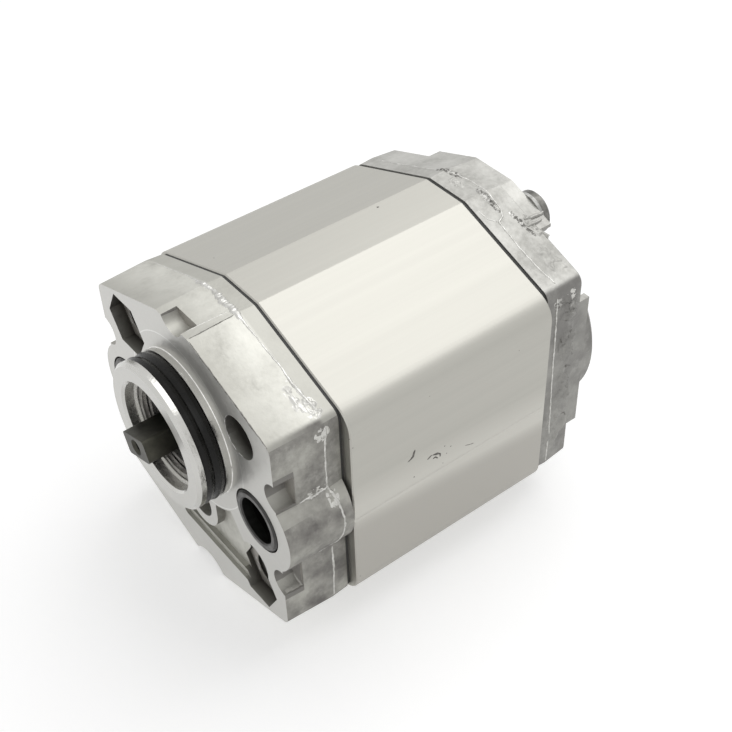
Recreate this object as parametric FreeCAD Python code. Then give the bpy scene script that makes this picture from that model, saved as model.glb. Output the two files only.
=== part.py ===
import FreeCAD, Part
import math
import os

os.makedirs("parts", exist_ok=True)

V = FreeCAD.Vector

# Frame: the drive shaft's line is the Y axis, the mounting face is Y = 0 and the tang points to -Y.
# X is to the right seen from the front, Z is up. All sizes are in millimetres.

# Overall section of the pump, which is the same upside down and mirrored
gear_centre_distance = 18.0
section_mid_z = -gear_centre_distance / 2
facet_slope = math.radians(20)
bolt_pitch = 40.5
bolt_to_facet = 8.19
bolt_to_side = 12.95
ridge_half_width = 5.6
body_shoulder_radius = 5.6
cover_inset = 2.3
cover_corner_radius = 2.4
cover_draft = 0.35

# Stack along the shaft
front_cover_depth = 14.8
gasket_thickness = 0.7
body_length = 50.3
rear_flange_depth = 10.0
rear_pad_depth = 12.5
rear_rib_depth = 12.9
rear_crown_depth = 16.5
front_parting_y = 11.0
rear_parting_depth = 3.6

# Raised forms on the back of the rear cover
rear_edge_round = 0.5
rear_rib_half_width = 17.6
rear_pad_half_height = 17.4
rear_form_rise = 1.0
rear_crown_radius = 21.6
rear_crown_shift = 8.7
spot_face_radius = 8.8

# Bolts through the four corners
mount_hole_radius = 4.6
screw_radius = 4.0
screw_clearance = 0.4
thread_gap = 0.05
screw_head_radius = 6.5
screw_head_height = 5.0
screw_socket_flats = 5.0
screw_socket_depth = 2.9
screw_seat_depth = 4.6
screw_tip_set_back = 0.4
washer_radius = 6.8
washer_thickness = 1.2
counterbore_gap = 0.4

# Pockets in the front cover
hex_pocket_flats = 12.0
hex_pocket_depth = 3.0
hex_pocket_extension = 5.2
side_notch_radius = 3.5
side_notch_depth = 4.3
side_notch_rise = 12.2
top_notch_radius = 3.9
bottom_notch_radius = 6.3
end_notch_depth = 3.5
relief_hole_radius = 4.4
relief_hole_depth = 9.0
drain_hole_radius = 2.0
relief_z = -22.4
relief_boss_radius = 6.7
spigot_land_radius = 20.0
recess_depth = 1.9
recess_ledge_depth = 0.8
recess_ledge_width = 1.6
recess_margin = 9.35

# Spigot, its ring seal and the shaft seal behind it
seal_bore_radius = 11.0
spigot_mouth_step = 0.7
ring_groove_floor = 1.5
ring_groove_depth = 2.8
ring_groove_start = 1.4
ring_groove_width = 4.3
ring_seal_stand = 0.05
spigot_height = 7.5
spigot_chamfer = 0.7
spigot_mouth_depth = 2.5
seal_front_y = -3.4
seal_length = 7.0
retainer_groove_depth = 0.55
retainer_groove_width = 1.1
retainer_thickness = 1.0

# Ports on the mounting face
port_offset_x = 23.1
port_boss_radius = 11.2
pressure_port_radius = 4.9
suction_port_radius = 6.2
passage_step = 0.3
pressure_seat_radius = 7.0
suction_seat_radius = 8.2
port_seat_depth = 2.0
port_seal_stand = 0.35
port_seal_gap = 0.35
port_seal_bore_gap = 0.1

# Gears and shafts
tooth_count = 10
tooth_addendum = 1.8
tooth_clearance = 0.35
working_pressure_angle = math.radians(26)
backlash = 0.12
gear_width = 22.6
journal_radius = 6.0
side_running_gap = 0.03
tip_running_gap = 0.06
journal_running_gap = 0.025
block_sliding_gap = 0.04
bush_wall = 1.0
tang_thickness = 5.0
tang_width = 9.0
tang_end_y = -11.5
tang_start_y = -1.5
tang_angle = 21.0

# Dowels
dowel_radius = 2.5
dowel_half_length = 5.0
dowel_offset = 2.25
dowel_dz = 12.0

# Sizes that follow from the ones above
spigot_mouth_radius = seal_bore_radius + spigot_mouth_step
ring_groove_radius = spigot_mouth_radius + ring_groove_floor
dowel_x = bolt_pitch / 2 + dowel_offset
spigot_radius = ring_groove_radius + ring_groove_depth
retainer_groove_radius = seal_bore_radius + retainer_groove_depth
body_half_width = bolt_pitch / 2 + bolt_to_side
cover_half_width = body_half_width - cover_inset
section_half_height = (bolt_pitch / 2 + (bolt_pitch / 2 - ridge_half_width) * math.tan(facet_slope)
                       + bolt_to_facet / math.cos(facet_slope))
body_start_y = front_cover_depth + gasket_thickness
body_end_y = body_start_y + body_length
rear_cover_y = body_end_y + gasket_thickness
chamber_start_y = front_cover_depth
chamber_length = body_length + 2 * gasket_thickness
block_length = (chamber_length - gear_width - 2 * side_running_gap) / 2
gear_start_y = chamber_start_y + block_length + side_running_gap
gear_end_y = gear_start_y + gear_width
gear_mid_y = (gear_start_y + gear_end_y) / 2
rear_block_y = gear_end_y + side_running_gap
pitch_radius = gear_centre_distance / 2
tip_radius = pitch_radius + tooth_addendum
root_radius = pitch_radius - tooth_addendum - tooth_clearance
chamber_radius = tip_radius + tip_running_gap
block_radius = chamber_radius - block_sliding_gap
bush_inner_radius = journal_radius + journal_running_gap
bush_outer_radius = bush_inner_radius + bush_wall
bolt_x = bolt_pitch / 2
bolt_high_z = section_mid_z + bolt_pitch / 2
bolt_low_z = section_mid_z - bolt_pitch / 2
driven_z = -gear_centre_distance


def rod(radius, y0, y1, x=0.0, z=0.0):
    return Part.makeCylinder(radius, y1 - y0, V(x, y0, z), V(0, 1, 0))


def cone(radius0, radius1, y0, y1, x=0.0, z=0.0):
    return Part.makeCone(radius0, radius1, y1 - y0, V(x, y0, z), V(0, 1, 0))


def block(x0, x1, y0, y1, z0, z1):
    return Part.makeBox(x1 - x0, y1 - y0, z1 - z0, V(x0, y0, z0))


def fuse_all(shapes):
    total = shapes[0]
    for shape in shapes[1:]:
        total = total.fuse(shape)
    return total.removeSplitter()


def cut_all(shape, tools):
    for tool in tools:
        shape = shape.cut(tool)
    return shape


def rounded_wire(corners, y):
    """Closed outline in a plane of constant y; each corner is (x, z, radius)."""
    edges = []
    starts = []
    ends = []
    middles = []
    count = len(corners)
    for i in range(count):
        x, z, radius = corners[i]
        here = V(x, y, z)
        before = V(corners[i - 1][0], y, corners[i - 1][1])
        after = V(corners[(i + 1) % count][0], y, corners[(i + 1) % count][1])
        back = (before - here).normalize()
        ahead = (after - here).normalize()
        half = back.getAngle(ahead) / 2
        reach = radius / math.tan(half)
        centre_line = (back + ahead).normalize()
        centre = here + centre_line * (radius / math.sin(half))
        starts.append(here + back * reach)
        ends.append(here + ahead * reach)
        middles.append(centre - centre_line * radius)
    for i in range(count):
        edges.append(Part.Arc(starts[i], middles[i], ends[i]).toShape())
        edges.append(Part.makeLine(ends[i], starts[(i + 1) % count]))
    return Part.Wire(edges)


def section_wire(y, half_width, half_height, shoulder_radius, ridge_radius=0.8):
    """Pump section: a flat ridge top and bottom, sloping facets, upright sides."""
    shoulder = half_height - (half_width - ridge_half_width) * math.tan(facet_slope)
    upper = section_mid_z + half_height
    lower = section_mid_z - half_height
    high = section_mid_z + shoulder
    low = section_mid_z - shoulder
    corners = [
        (-ridge_half_width, upper, ridge_radius),
        (ridge_half_width, upper, ridge_radius),
        (half_width, high, shoulder_radius),
        (half_width, low, shoulder_radius),
        (ridge_half_width, lower, ridge_radius),
        (-ridge_half_width, lower, ridge_radius),
        (-half_width, low, shoulder_radius),
        (-half_width, high, shoulder_radius),
    ]
    return rounded_wire(corners, y)


def section_slab(y0, y1, half_width, half_height, shoulder_radius):
    face = Part.Face(section_wire(y0, half_width, half_height, shoulder_radius))
    return face.extrude(V(0, y1 - y0, 0))


def drafted_slab(y0, y1, growth0, growth1):
    """Cast slab whose outline grows from one face to the other."""
    wires = []
    for y, growth in ((y0, growth0), (y1, growth1)):
        width = cover_half_width + growth
        height = section_half_height + growth
        wires.append(section_wire(y, width, height, cover_corner_radius))
    return Part.makeLoft(wires, True, True)


def spun(points, x=0.0, z=0.0):
    """Solid turned about a line along Y; points are (radius, y)."""
    corners = [V(x + radius, y, z) for radius, y in points]
    face = Part.Face(Part.makePolygon(corners + corners[:1]))
    return face.revolve(V(x, 0, z), V(0, 1, 0), 360)


def hexagon(across_flats, y0, y1, x, z, turn=0.0):
    corner = across_flats / math.sqrt(3)
    points = []
    for i in range(6):
        angle = math.radians(60 * i + turn)
        points.append(V(x + corner * math.cos(angle), y0, z + corner * math.sin(angle)))
    face = Part.Face(Part.makePolygon(points + points[:1]))
    return face.extrude(V(0, y1 - y0, 0))


def export(shape, name):
    shape.exportStep("parts/" + name + ".step")


def both_chambers(radius, y0, y1):
    """The two overlapping circles the gears and blocks run in."""
    return rod(radius, y0, y1).fuse(rod(radius, y0, y1, 0, driven_z)).removeSplitter()


# Front cover

def front_cover():
    parting = front_parting_y
    boss_face = port_boss_radius - 0.2
    casting = fuse_all([
        drafted_slab(0, parting, -cover_draft, 0.1),
        drafted_slab(parting, front_cover_depth, 0.1, -0.1),
        cone(boss_face, port_boss_radius, 0, front_cover_depth, port_offset_x, section_mid_z),
        cone(boss_face, port_boss_radius, 0, front_cover_depth, -port_offset_x, section_mid_z),
    ])
    spigot = spun([
        (0, 0.5),
        (spigot_radius, 0.5),
        (spigot_radius, -ring_groove_start),
        (ring_groove_radius, -ring_groove_start),
        (ring_groove_radius, -ring_groove_start - ring_groove_width),
        (spigot_radius, -ring_groove_start - ring_groove_width),
        (spigot_radius, -spigot_height + spigot_chamfer),
        (spigot_radius - spigot_chamfer, -spigot_height),
        (0, -spigot_height),
    ])
    casting = casting.fuse(spigot)
    mouth_y = -spigot_height + spigot_mouth_depth
    seal_back_y = seal_front_y + seal_length
    bore = spun([
        (0, -spigot_height - 1),
        (spigot_mouth_radius + 0.5, -spigot_height - 1),
        (spigot_mouth_radius + 0.5, -spigot_height),
        (spigot_mouth_radius, -spigot_height + 0.5),
        (spigot_mouth_radius, mouth_y),
        (seal_bore_radius, mouth_y + 0.3),
        (seal_bore_radius, seal_front_y - retainer_groove_width),
        (retainer_groove_radius, seal_front_y - retainer_groove_width),
        (retainer_groove_radius, seal_front_y),
        (seal_bore_radius, seal_front_y),
        (seal_bore_radius, seal_back_y),
        (journal_radius + 2.2, seal_back_y),
        (journal_radius + 0.8, seal_back_y + 2.0),
        (journal_radius + 0.8, front_cover_depth + 1),
        (0, front_cover_depth + 1),
    ])
    cuts = [bore]
    # Scallops in the edges, left by the ejector and gate side of the die
    for side in (-1, 1):
        for rise in (-side_notch_rise, side_notch_rise):
            cuts.append(rod(side_notch_radius, -1, side_notch_depth, side * (cover_half_width - 0.1),
                            section_mid_z + rise))
    top_notch_z = section_mid_z + section_half_height + 1.2
    bottom_notch_z = section_mid_z - section_half_height - 3.5
    cuts.append(rod(top_notch_radius, -1, end_notch_depth, 0, top_notch_z))
    cuts.append(rod(bottom_notch_radius, -1, end_notch_depth, 0, bottom_notch_z))
    # Through holes for the mounting bolts, and hexagonal pockets on the other diagonal
    through = front_cover_depth + 1
    cuts.append(rod(mount_hole_radius, -1, through, bolt_x, bolt_high_z))
    cuts.append(rod(mount_hole_radius, -1, through, -bolt_x, bolt_low_z))
    cuts.append(hexagon(hex_pocket_flats, -1, hex_pocket_depth, -bolt_x, bolt_high_z))
    cuts.append(hexagon(hex_pocket_flats, -1, hex_pocket_depth, bolt_x, bolt_low_z))
    cuts.append(rod(mount_hole_radius, -1, hex_pocket_depth, bolt_x, bolt_low_z + hex_pocket_extension))
    cuts.append(rod(screw_radius + thread_gap, hex_pocket_depth - 1, through, -bolt_x, bolt_high_z))
    cuts.append(rod(screw_radius + thread_gap, hex_pocket_depth - 1, through, bolt_x, bolt_low_z))
    # Ports with the seats of their face seals
    cuts.append(rod(pressure_port_radius, -1, through, port_offset_x, section_mid_z))
    cuts.append(rod(pressure_seat_radius, -1, port_seat_depth, port_offset_x, section_mid_z))
    cuts.append(rod(suction_port_radius, -1, through, -port_offset_x, section_mid_z))
    cuts.append(rod(suction_seat_radius, -1, port_seat_depth, -port_offset_x, section_mid_z))
    # Relief hole under the spigot, which drains the driven shaft's bearing
    cuts.append(rod(relief_hole_radius, -1, relief_hole_depth, 0, relief_z))
    cuts.append(rod(drain_hole_radius, relief_hole_depth - 1, through, 0, driven_z))
    cuts.append(relief_recess())
    for side in (-1, 1):
        cuts.append(rod(dowel_radius, front_cover_depth - dowel_half_length, through,
                        side * dowel_x, section_mid_z + side * dowel_dz))
    return cut_all(casting, cuts)


def recess_area(low_z, depth):
    """Block whose outline is the recess, open towards the spigot."""
    right = bolt_x - 2.7
    outline = rounded_wire([
        (-9.3, low_z, 1.0),
        (right, low_z, 1.0),
        (right, relief_z, 1.0),
        (right - 5.0, section_mid_z - 6.0, 1.0),
        (-4.0, section_mid_z - 6.0, 1.0),
        (-4.0, low_z + 6.5, 1.0),
    ], -1)
    return Part.Face(outline).extrude(V(0, 1 + depth, 0))


def relief_recess():
    """Stepped recess in the mounting face, around the small boss under the spigot."""
    low_z = section_mid_z - section_half_height + recess_margin
    area = recess_area(low_z, recess_ledge_depth).fuse(
        recess_area(low_z + recess_ledge_width, recess_depth))
    keep = [
        rod(spigot_land_radius, -2, 5),
        rod(relief_boss_radius, -2, 5, 0, relief_z),
        block(-relief_boss_radius, relief_boss_radius, -2, 5, relief_z, section_mid_z),
        rod(port_boss_radius - 0.4, -2, 5, port_offset_x, section_mid_z),
        rod(port_boss_radius - 0.4, -2, 5, -port_offset_x, section_mid_z),
    ]
    return cut_all(area, keep)


export(front_cover(), "front_cover")


# Body, an extruded length with the gear chamber bored through it

crease_radius = 1.2
crease_depth = 0.12


def pump_body():
    bar = section_slab(body_start_y, body_end_y, body_half_width, section_half_height, body_shoulder_radius)
    rims = [edge for edge in bar.Edges if edge.BoundBox.YLength < 0.01]
    bar = bar.makeChamfer(0.25, rims)
    cuts = [both_chambers(chamber_radius, body_start_y - 1, body_end_y + 1)]
    # A shallow crease that the extrusion die leaves along each side
    for side in (-1, 1):
        x = side * (body_half_width + crease_radius - crease_depth)
        cuts.append(rod(crease_radius, body_start_y - 1, body_end_y + 1, x, section_mid_z - 2.6))
    for x, z in ((bolt_x, bolt_high_z), (-bolt_x, bolt_low_z)):
        cuts.append(rod(mount_hole_radius, body_start_y - 1, body_end_y + 1, x, z))
    for x, z in ((-bolt_x, bolt_high_z), (bolt_x, bolt_low_z)):
        cuts.append(rod(screw_radius + screw_clearance, body_start_y - 1, body_end_y + 1, x, z))
    # Passages from the front joint to the middle of the gears
    for side, port_radius in ((1, pressure_port_radius), (-1, suction_port_radius)):
        radius = port_radius - passage_step
        cuts.append(rod(radius, body_start_y - 1, gear_mid_y + radius, side * port_offset_x, section_mid_z))
        start = V(side * port_offset_x, gear_mid_y, section_mid_z)
        cuts.append(Part.makeCylinder(radius - 0.3, port_offset_x - 4, start, V(-side, 0, 0)))
    for side in (-1, 1):
        x = side * dowel_x
        z = section_mid_z + side * dowel_dz
        cuts.append(rod(dowel_radius, body_start_y - 1, body_start_y + dowel_half_length, x, z))
        cuts.append(rod(dowel_radius, body_end_y - dowel_half_length, body_end_y + 1, x, z))
    return cut_all(bar, cuts)


export(pump_body(), "pump_body")


# Rear cover

plug_x = 10.2
plug_inset = 6.9
plug_z = section_mid_z + section_half_height - plug_inset
plug_thread_radius = 3.0
plug_bore_depth = 8.9
plug_thread_depth = 7.9
plug_tip_chamfer = 0.7
plug_head_radius = 4.8
plug_head_height = 2.1
plug_washer_thickness = 0.8


def crown():
    """Raised middle of the back, round on its two sides."""
    y0 = rear_cover_y
    y1 = y0 + rear_crown_depth
    radius = rear_crown_radius
    mid_z = section_mid_z + rear_form_rise
    forms = []
    for x in (-rear_crown_shift, rear_crown_shift):
        forms.append(cone(radius + 0.4, radius, y0, y1 - 1.0, x, mid_z))
        forms.append(cone(radius, radius - 1.0, y1 - 1.0, y1, x, mid_z))
    return fuse_all(forms)


def rear_cover():
    y0 = rear_cover_y
    parting = y0 + rear_parting_depth
    flange_end = y0 + rear_flange_depth
    pad_end = y0 + rear_pad_depth
    rib_end = y0 + rear_rib_depth
    crown_end = y0 + rear_crown_depth
    low_half = drafted_slab(y0, parting, -0.1, 0.1)
    high_half = drafted_slab(parting, flange_end - rear_edge_round, 0.1, -0.3)
    edge = drafted_slab(flange_end - rear_edge_round, flange_end, -0.3, -0.3 - rear_edge_round)
    outline = section_slab(y0, crown_end, cover_half_width - 0.5, section_half_height - 0.5,
                           cover_corner_radius)
    rib = block(-rear_rib_half_width, rear_rib_half_width, y0, rib_end,
                section_mid_z - section_half_height, section_mid_z + section_half_height)
    pad_mid_z = section_mid_z + rear_form_rise
    pads = block(-cover_half_width, cover_half_width, y0, pad_end, pad_mid_z - rear_pad_half_height,
                 pad_mid_z + rear_pad_half_height)
    raised = fuse_all([rib, pads, crown()]).common(outline)
    # Spot faces round the mounting bolts
    raised = cut_all(raised, [
        rod(spot_face_radius, flange_end, crown_end + 1, bolt_x, bolt_high_z),
        rod(spot_face_radius, flange_end, crown_end + 1, -bolt_x, bolt_low_z),
    ])
    cover = fuse_all([low_half, high_half, edge, raised])
    cover = cover.cut(rod(plug_head_radius + 0.6, rib_end, crown_end + 1, plug_x, plug_z))
    cuts = []
    for x, z in ((bolt_x, bolt_high_z), (-bolt_x, bolt_low_z)):
        cuts.append(rod(mount_hole_radius, y0 - 1, rib_end + 2, x, z))
    for x, z in ((-bolt_x, bolt_high_z), (bolt_x, bolt_low_z)):
        cuts.append(rod(screw_radius + screw_clearance, y0 - 1, rib_end + 2, x, z))
        cuts.append(rod(washer_radius + counterbore_gap, y0 + screw_seat_depth, crown_end + 1, x, z))
    # Relief bores behind the two shafts, and the drilling that the plug closes
    for z in (0, driven_z):
        cuts.append(rod(journal_radius - 1.0, y0 - 1, y0 + 2.0, 0, z))
    cuts.append(rod(plug_thread_radius, rib_end - plug_bore_depth, rib_end + 1, plug_x, plug_z))
    for side in (-1, 1):
        cuts.append(rod(dowel_radius, y0 - 1, y0 + dowel_half_length, side * dowel_x,
                        section_mid_z + side * dowel_dz))
    return cut_all(cover, cuts)


export(rear_cover(), "rear_cover")


# Gaskets between the covers and the body

def gasket(y0, at_front):
    sheet = section_slab(y0, y0 + gasket_thickness, cover_half_width - 0.35, section_half_height - 0.35,
                         cover_corner_radius)
    cuts = [both_chambers(chamber_radius, y0 - 1, y0 + 2)]
    for x in (-bolt_x, bolt_x):
        for z in (bolt_low_z, bolt_high_z):
            cuts.append(rod(mount_hole_radius, y0 - 1, y0 + 2, x, z))
    for side in (-1, 1):
        cuts.append(rod(dowel_radius, y0 - 1, y0 + 2, side * dowel_x, section_mid_z + side * dowel_dz))
    if at_front:
        cuts.append(rod(pressure_port_radius + passage_step, y0 - 1, y0 + 2, port_offset_x, section_mid_z))
        cuts.append(rod(suction_port_radius + passage_step, y0 - 1, y0 + 2, -port_offset_x, section_mid_z))
    return cut_all(sheet, cuts)


export(gasket(front_cover_depth, True), "front_gasket")
export(gasket(body_end_y, False), "rear_gasket")


# Seals on the front cover

def spigot_ring_seal():
    """Four-lobed ring that fills its groove and stands a little proud of the spigot."""
    middle = -ring_groove_start - ring_groove_width / 2
    half = ring_groove_width / 2
    crown = spigot_radius + ring_seal_stand
    points = [
        (ring_groove_radius, middle - half),
        (ring_groove_radius, middle + half),
        (crown - 0.8, middle + half),
        (crown - 0.3, middle + half - 0.2),
        (crown, middle + half - 1.1),
        (crown - 0.2, middle + 0.5),
        (crown - 0.5, middle),
        (crown - 0.2, middle - 0.5),
        (crown, middle - half + 1.1),
        (crown - 0.3, middle - half + 0.2),
        (crown - 0.8, middle - half),
    ]
    return spun(points)


def port_seal(seat_radius, port_radius, x):
    """Flat-topped ring that lies in a port's seat and stands above the mounting face."""
    outer = seat_radius - port_seal_gap
    inner = port_radius + port_seal_bore_gap
    points = [
        (outer, port_seat_depth),
        (inner, port_seat_depth),
        (inner, -port_seal_stand + 0.3),
        (inner + 0.3, -port_seal_stand),
        (outer - 0.4, -port_seal_stand),
        (outer, -port_seal_stand + 0.4),
    ]
    return spun(points, x, section_mid_z)


export(spigot_ring_seal(), "spigot_ring_seal")
export(port_seal(pressure_seat_radius, pressure_port_radius, port_offset_x), "pressure_port_seal")
export(port_seal(suction_seat_radius, suction_port_radius, -port_offset_x), "suction_port_seal")


# Shaft seal: a steel case, a rubber lip moulded to it and the garter spring behind the lip

seal_back_y = seal_front_y + seal_length
case_wall = 0.8


def seal_case():
    return spun([
        (seal_bore_radius, seal_front_y + 0.2),
        (seal_bore_radius, seal_back_y),
        (seal_bore_radius - case_wall, seal_back_y),
        (seal_bore_radius - case_wall, seal_front_y + 0.2 + case_wall),
        (journal_radius + 2.0, seal_front_y + 0.2 + case_wall),
        (journal_radius + 2.0, seal_front_y + 0.2),
    ])


def seal_lip():
    inner = journal_radius + journal_running_gap
    front = seal_front_y + 0.2 + case_wall
    return spun([
        (seal_bore_radius - case_wall, front),
        (seal_bore_radius - case_wall, front + 1.6),
        (journal_radius + 2.6, front + 1.8),
        (journal_radius + 1.3, front + 2.6),
        (journal_radius + 1.3, front + 3.6),
        (journal_radius + 2.0, front + 4.0),
        (journal_radius + 2.0, front + 4.8),
        (journal_radius + 0.7, front + 4.8),
        (inner, front + 3.6),
        (journal_radius + 0.5, front + 1.9),
        (journal_radius + 0.5, front + 1.0),
        (inner, front + 0.2),
        (inner, front),
    ])


def garter_spring():
    """Closed coil spring, drawn as a plain ring, lying in the lip's groove."""
    middle = seal_front_y + 0.2 + case_wall + 3.1
    mean = journal_radius + 1.3 + 0.48
    wire = []
    for i in range(8):
        angle = math.radians(45 * i + 22.5)
        wire.append((mean + 0.48 * math.cos(angle), middle + 0.48 * math.sin(angle)))
    return spun(wire)


export(seal_case(), "shaft_seal_case")
export(seal_lip(), "shaft_seal_lip")
export(garter_spring(), "shaft_seal_spring")


def retaining_ring():
    """Internal snap ring with two eyed lugs at its gap."""
    y1 = seal_front_y
    y0 = y1 - retainer_thickness
    outer = retainer_groove_radius - 0.05
    ring = rod(outer, y0, y1).cut(rod(outer - 1.9, y0 - 1, y1 + 1))
    lugs = []
    for angle in (72, 108):
        lug_x = (outer - 2.6) * math.cos(math.radians(angle))
        lug_z = (outer - 2.6) * math.sin(math.radians(angle))
        lugs.append(rod(1.7, y0, y1, lug_x, lug_z))
    ring = fuse_all([ring] + lugs).common(rod(outer, y0 - 1, y1 + 1))
    gap = block(-1.4, 1.4, y0 - 1, y1 + 1, 4, outer + 2)
    ring = ring.cut(gap)
    for angle in (72, 108):
        eye_x = (outer - 2.6) * math.cos(math.radians(angle))
        eye_z = (outer - 2.6) * math.sin(math.radians(angle))
        ring = ring.cut(rod(0.7, y0 - 1, y1 + 1, eye_x, eye_z))
    return ring


export(retaining_ring(), "retaining_ring")


# Gears

def involute_angle(radius):
    """Roll-off angle of the tooth flank at a radius."""
    base = pitch_radius * math.cos(working_pressure_angle)
    slope = math.sqrt(max((radius / base) ** 2 - 1, 0))
    return slope - math.atan(slope)


def gear_point(radius, angle, y, z):
    return V(radius * math.cos(angle), y, z + radius * math.sin(angle))


def gear_blank(y0, y1, z, first_tooth):
    """Spur gear with involute flanks; first_tooth is the angle of one tooth's middle."""
    base = pitch_radius * math.cos(working_pressure_angle)
    pitch_half = (math.pi * pitch_radius / tooth_count - backlash / 2) / 2 / pitch_radius
    base_half = pitch_half + involute_angle(pitch_radius)
    fillet = 0.5
    steps = 7
    edges = []
    tooth_angle = 2 * math.pi / tooth_count
    for i in range(tooth_count):
        middle = first_tooth + i * tooth_angle
        rising = []
        falling = []
        for k in range(steps):
            radius = base + (tip_radius - base) * k / (steps - 1)
            half = base_half - involute_angle(radius)
            rising.append(gear_point(radius, middle - half, y0, z))
            falling.append(gear_point(radius, middle + half, y0, z))
        falling.reverse()
        foot_angle = fillet / root_radius
        low = middle - base_half
        high = middle + base_half
        foot_in = gear_point(root_radius, low - foot_angle, y0, z)
        bend_in = gear_point(root_radius + 0.29 * fillet, low - 0.29 * foot_angle, y0, z)
        rise_in = gear_point(root_radius + fillet, low, y0, z)
        rise_out = gear_point(root_radius + fillet, high, y0, z)
        bend_out = gear_point(root_radius + 0.29 * fillet, high + 0.29 * foot_angle, y0, z)
        foot_out = gear_point(root_radius, high + foot_angle, y0, z)
        edges.append(Part.Arc(foot_in, bend_in, rise_in).toShape())
        edges.append(Part.makeLine(rise_in, rising[0]))
        flank = Part.BSplineCurve()
        flank.interpolate(rising)
        edges.append(flank.toShape())
        edges.append(Part.Arc(rising[-1], gear_point(tip_radius, middle, y0, z), falling[0]).toShape())
        flank = Part.BSplineCurve()
        flank.interpolate(falling)
        edges.append(flank.toShape())
        edges.append(Part.makeLine(falling[-1], rise_out))
        edges.append(Part.Arc(rise_out, bend_out, foot_out).toShape())
        next_foot = gear_point(root_radius, middle + tooth_angle - base_half - foot_angle, y0, z)
        gap_middle = gear_point(root_radius, middle + tooth_angle / 2, y0, z)
        edges.append(Part.Arc(foot_out, gap_middle, next_foot).toShape())
    face = Part.Face(Part.Wire(edges))
    return face.extrude(V(0, y1 - y0, 0))


def journals(y_front, y_back, z):
    """Two journals with a relief groove beside the gear and bevelled ends."""
    groove = journal_radius - 0.25
    bevel = 0.6
    front = spun([
        (0, y_front),
        (journal_radius - bevel, y_front),
        (journal_radius, y_front + bevel),
        (journal_radius, gear_start_y - 0.8),
        (groove, gear_start_y - 0.6),
        (groove, gear_start_y + 0.5),
        (0, gear_start_y + 0.5),
    ], 0, z)
    back = spun([
        (0, gear_end_y - 0.5),
        (groove, gear_end_y - 0.5),
        (groove, gear_end_y + 0.6),
        (journal_radius, gear_end_y + 0.8),
        (journal_radius, y_back - bevel),
        (journal_radius - bevel, y_back),
        (0, y_back),
    ], 0, z)
    return front, back


def tang():
    """Flat-sided end of the drive shaft, with a centre hole in its end face."""
    half_width = tang_width / 2
    half_thick = tang_thickness / 2
    corner = 0.7
    wire = rounded_wire([
        (-half_width, -half_thick, corner),
        (half_width, -half_thick, corner),
        (half_width, half_thick, corner),
        (-half_width, half_thick, corner),
    ], tang_end_y)
    blade = Part.Face(wire).extrude(V(0, tang_start_y - tang_end_y + 1, 0))
    blade.rotate(V(0, 0, 0), V(0, 1, 0), -tang_angle)
    hole = spun([(0, tang_end_y - 1), (1.8, tang_end_y - 1), (1.8, tang_end_y), (1.3, tang_end_y + 0.6),
                 (1.3, tang_end_y + 3.4), (0, tang_end_y + 4.2)])
    return blade, hole


def drive_gear_shaft():
    front, back = journals(tang_start_y, rear_cover_y - 0.4, 0)
    blade, hole = tang()
    wheel = gear_blank(gear_start_y, gear_end_y, 0, -math.pi / 2)
    return fuse_all([wheel, front, back, blade]).cut(hole)


def driven_gear_shaft():
    front, back = journals(chamber_start_y + 0.4, rear_cover_y - 0.4, driven_z)
    wheel = gear_blank(gear_start_y, gear_end_y, driven_z, math.pi / 2 + math.pi / tooth_count)
    return fuse_all([wheel, front, back])


export(drive_gear_shaft(), "drive_gear_shaft")
export(driven_gear_shaft(), "driven_gear_shaft")


# Bearing blocks, their bushes and the seals on their outer faces

field_outer = 9.85
field_inner = 8.15
support_inner = 7.55
field_depth = 1.6


def field_arc(inner, outer, y0, y1, upper):
    """Arc around one bore, open on the suction side."""
    z = 0 if upper else driven_z
    start = -100 if upper else -110
    corners = [V(inner, y0, z), V(outer, y0, z), V(outer, y1, z), V(inner, y1, z)]
    face = Part.Face(Part.makePolygon(corners + corners[:1]))
    arc = face.revolve(V(0, 0, z), V(0, 1, 0), -210)
    arc.rotate(V(0, 0, z), V(0, 1, 0), -start)
    return arc


def field_ring(inner, outer, y0, y1):
    """Figure three around both bores."""
    return fuse_all([field_arc(inner, outer, y0, y1, True), field_arc(inner, outer, y0, y1, False)])


def bearing_block(y0, outer_face_first):
    y1 = y0 + block_length
    body = both_chambers(block_radius, y0, y1)
    cuts = []
    for z in (0, driven_z):
        cuts.append(rod(bush_outer_radius, y0 - 1, y1 + 1, 0, z))
    if outer_face_first:
        groove_start = y0
        relief_y = y1
    else:
        groove_start = y1 - field_depth
        relief_y = y0
    cuts.append(field_ring(support_inner, field_outer, groove_start, groove_start + field_depth))
    # Reliefs that let trapped oil out of the meshing teeth
    for side in (-1, 1):
        slot = block(1.5, 7.0, relief_y - 0.8, relief_y + 0.8, section_mid_z - 1.6, section_mid_z + 1.6)
        if side < 0:
            slot = slot.mirror(V(0, 0, 0), V(1, 0, 0))
        cuts.append(slot)
    return cut_all(body, cuts)


def bush(y0, z):
    """Wrapped bearing bush with its butt split on the side away from the load."""
    y1 = y0 + block_length - 0.8
    ring = rod(bush_outer_radius, y0, y1, 0, z).cut(rod(bush_inner_radius, y0 - 1, y1 + 1, 0, z))
    split = block(-bush_outer_radius - 1, -journal_radius + 1, y0 - 1, y1 + 1, z - 0.15, z + 0.15)
    return ring.cut(split)


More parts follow.
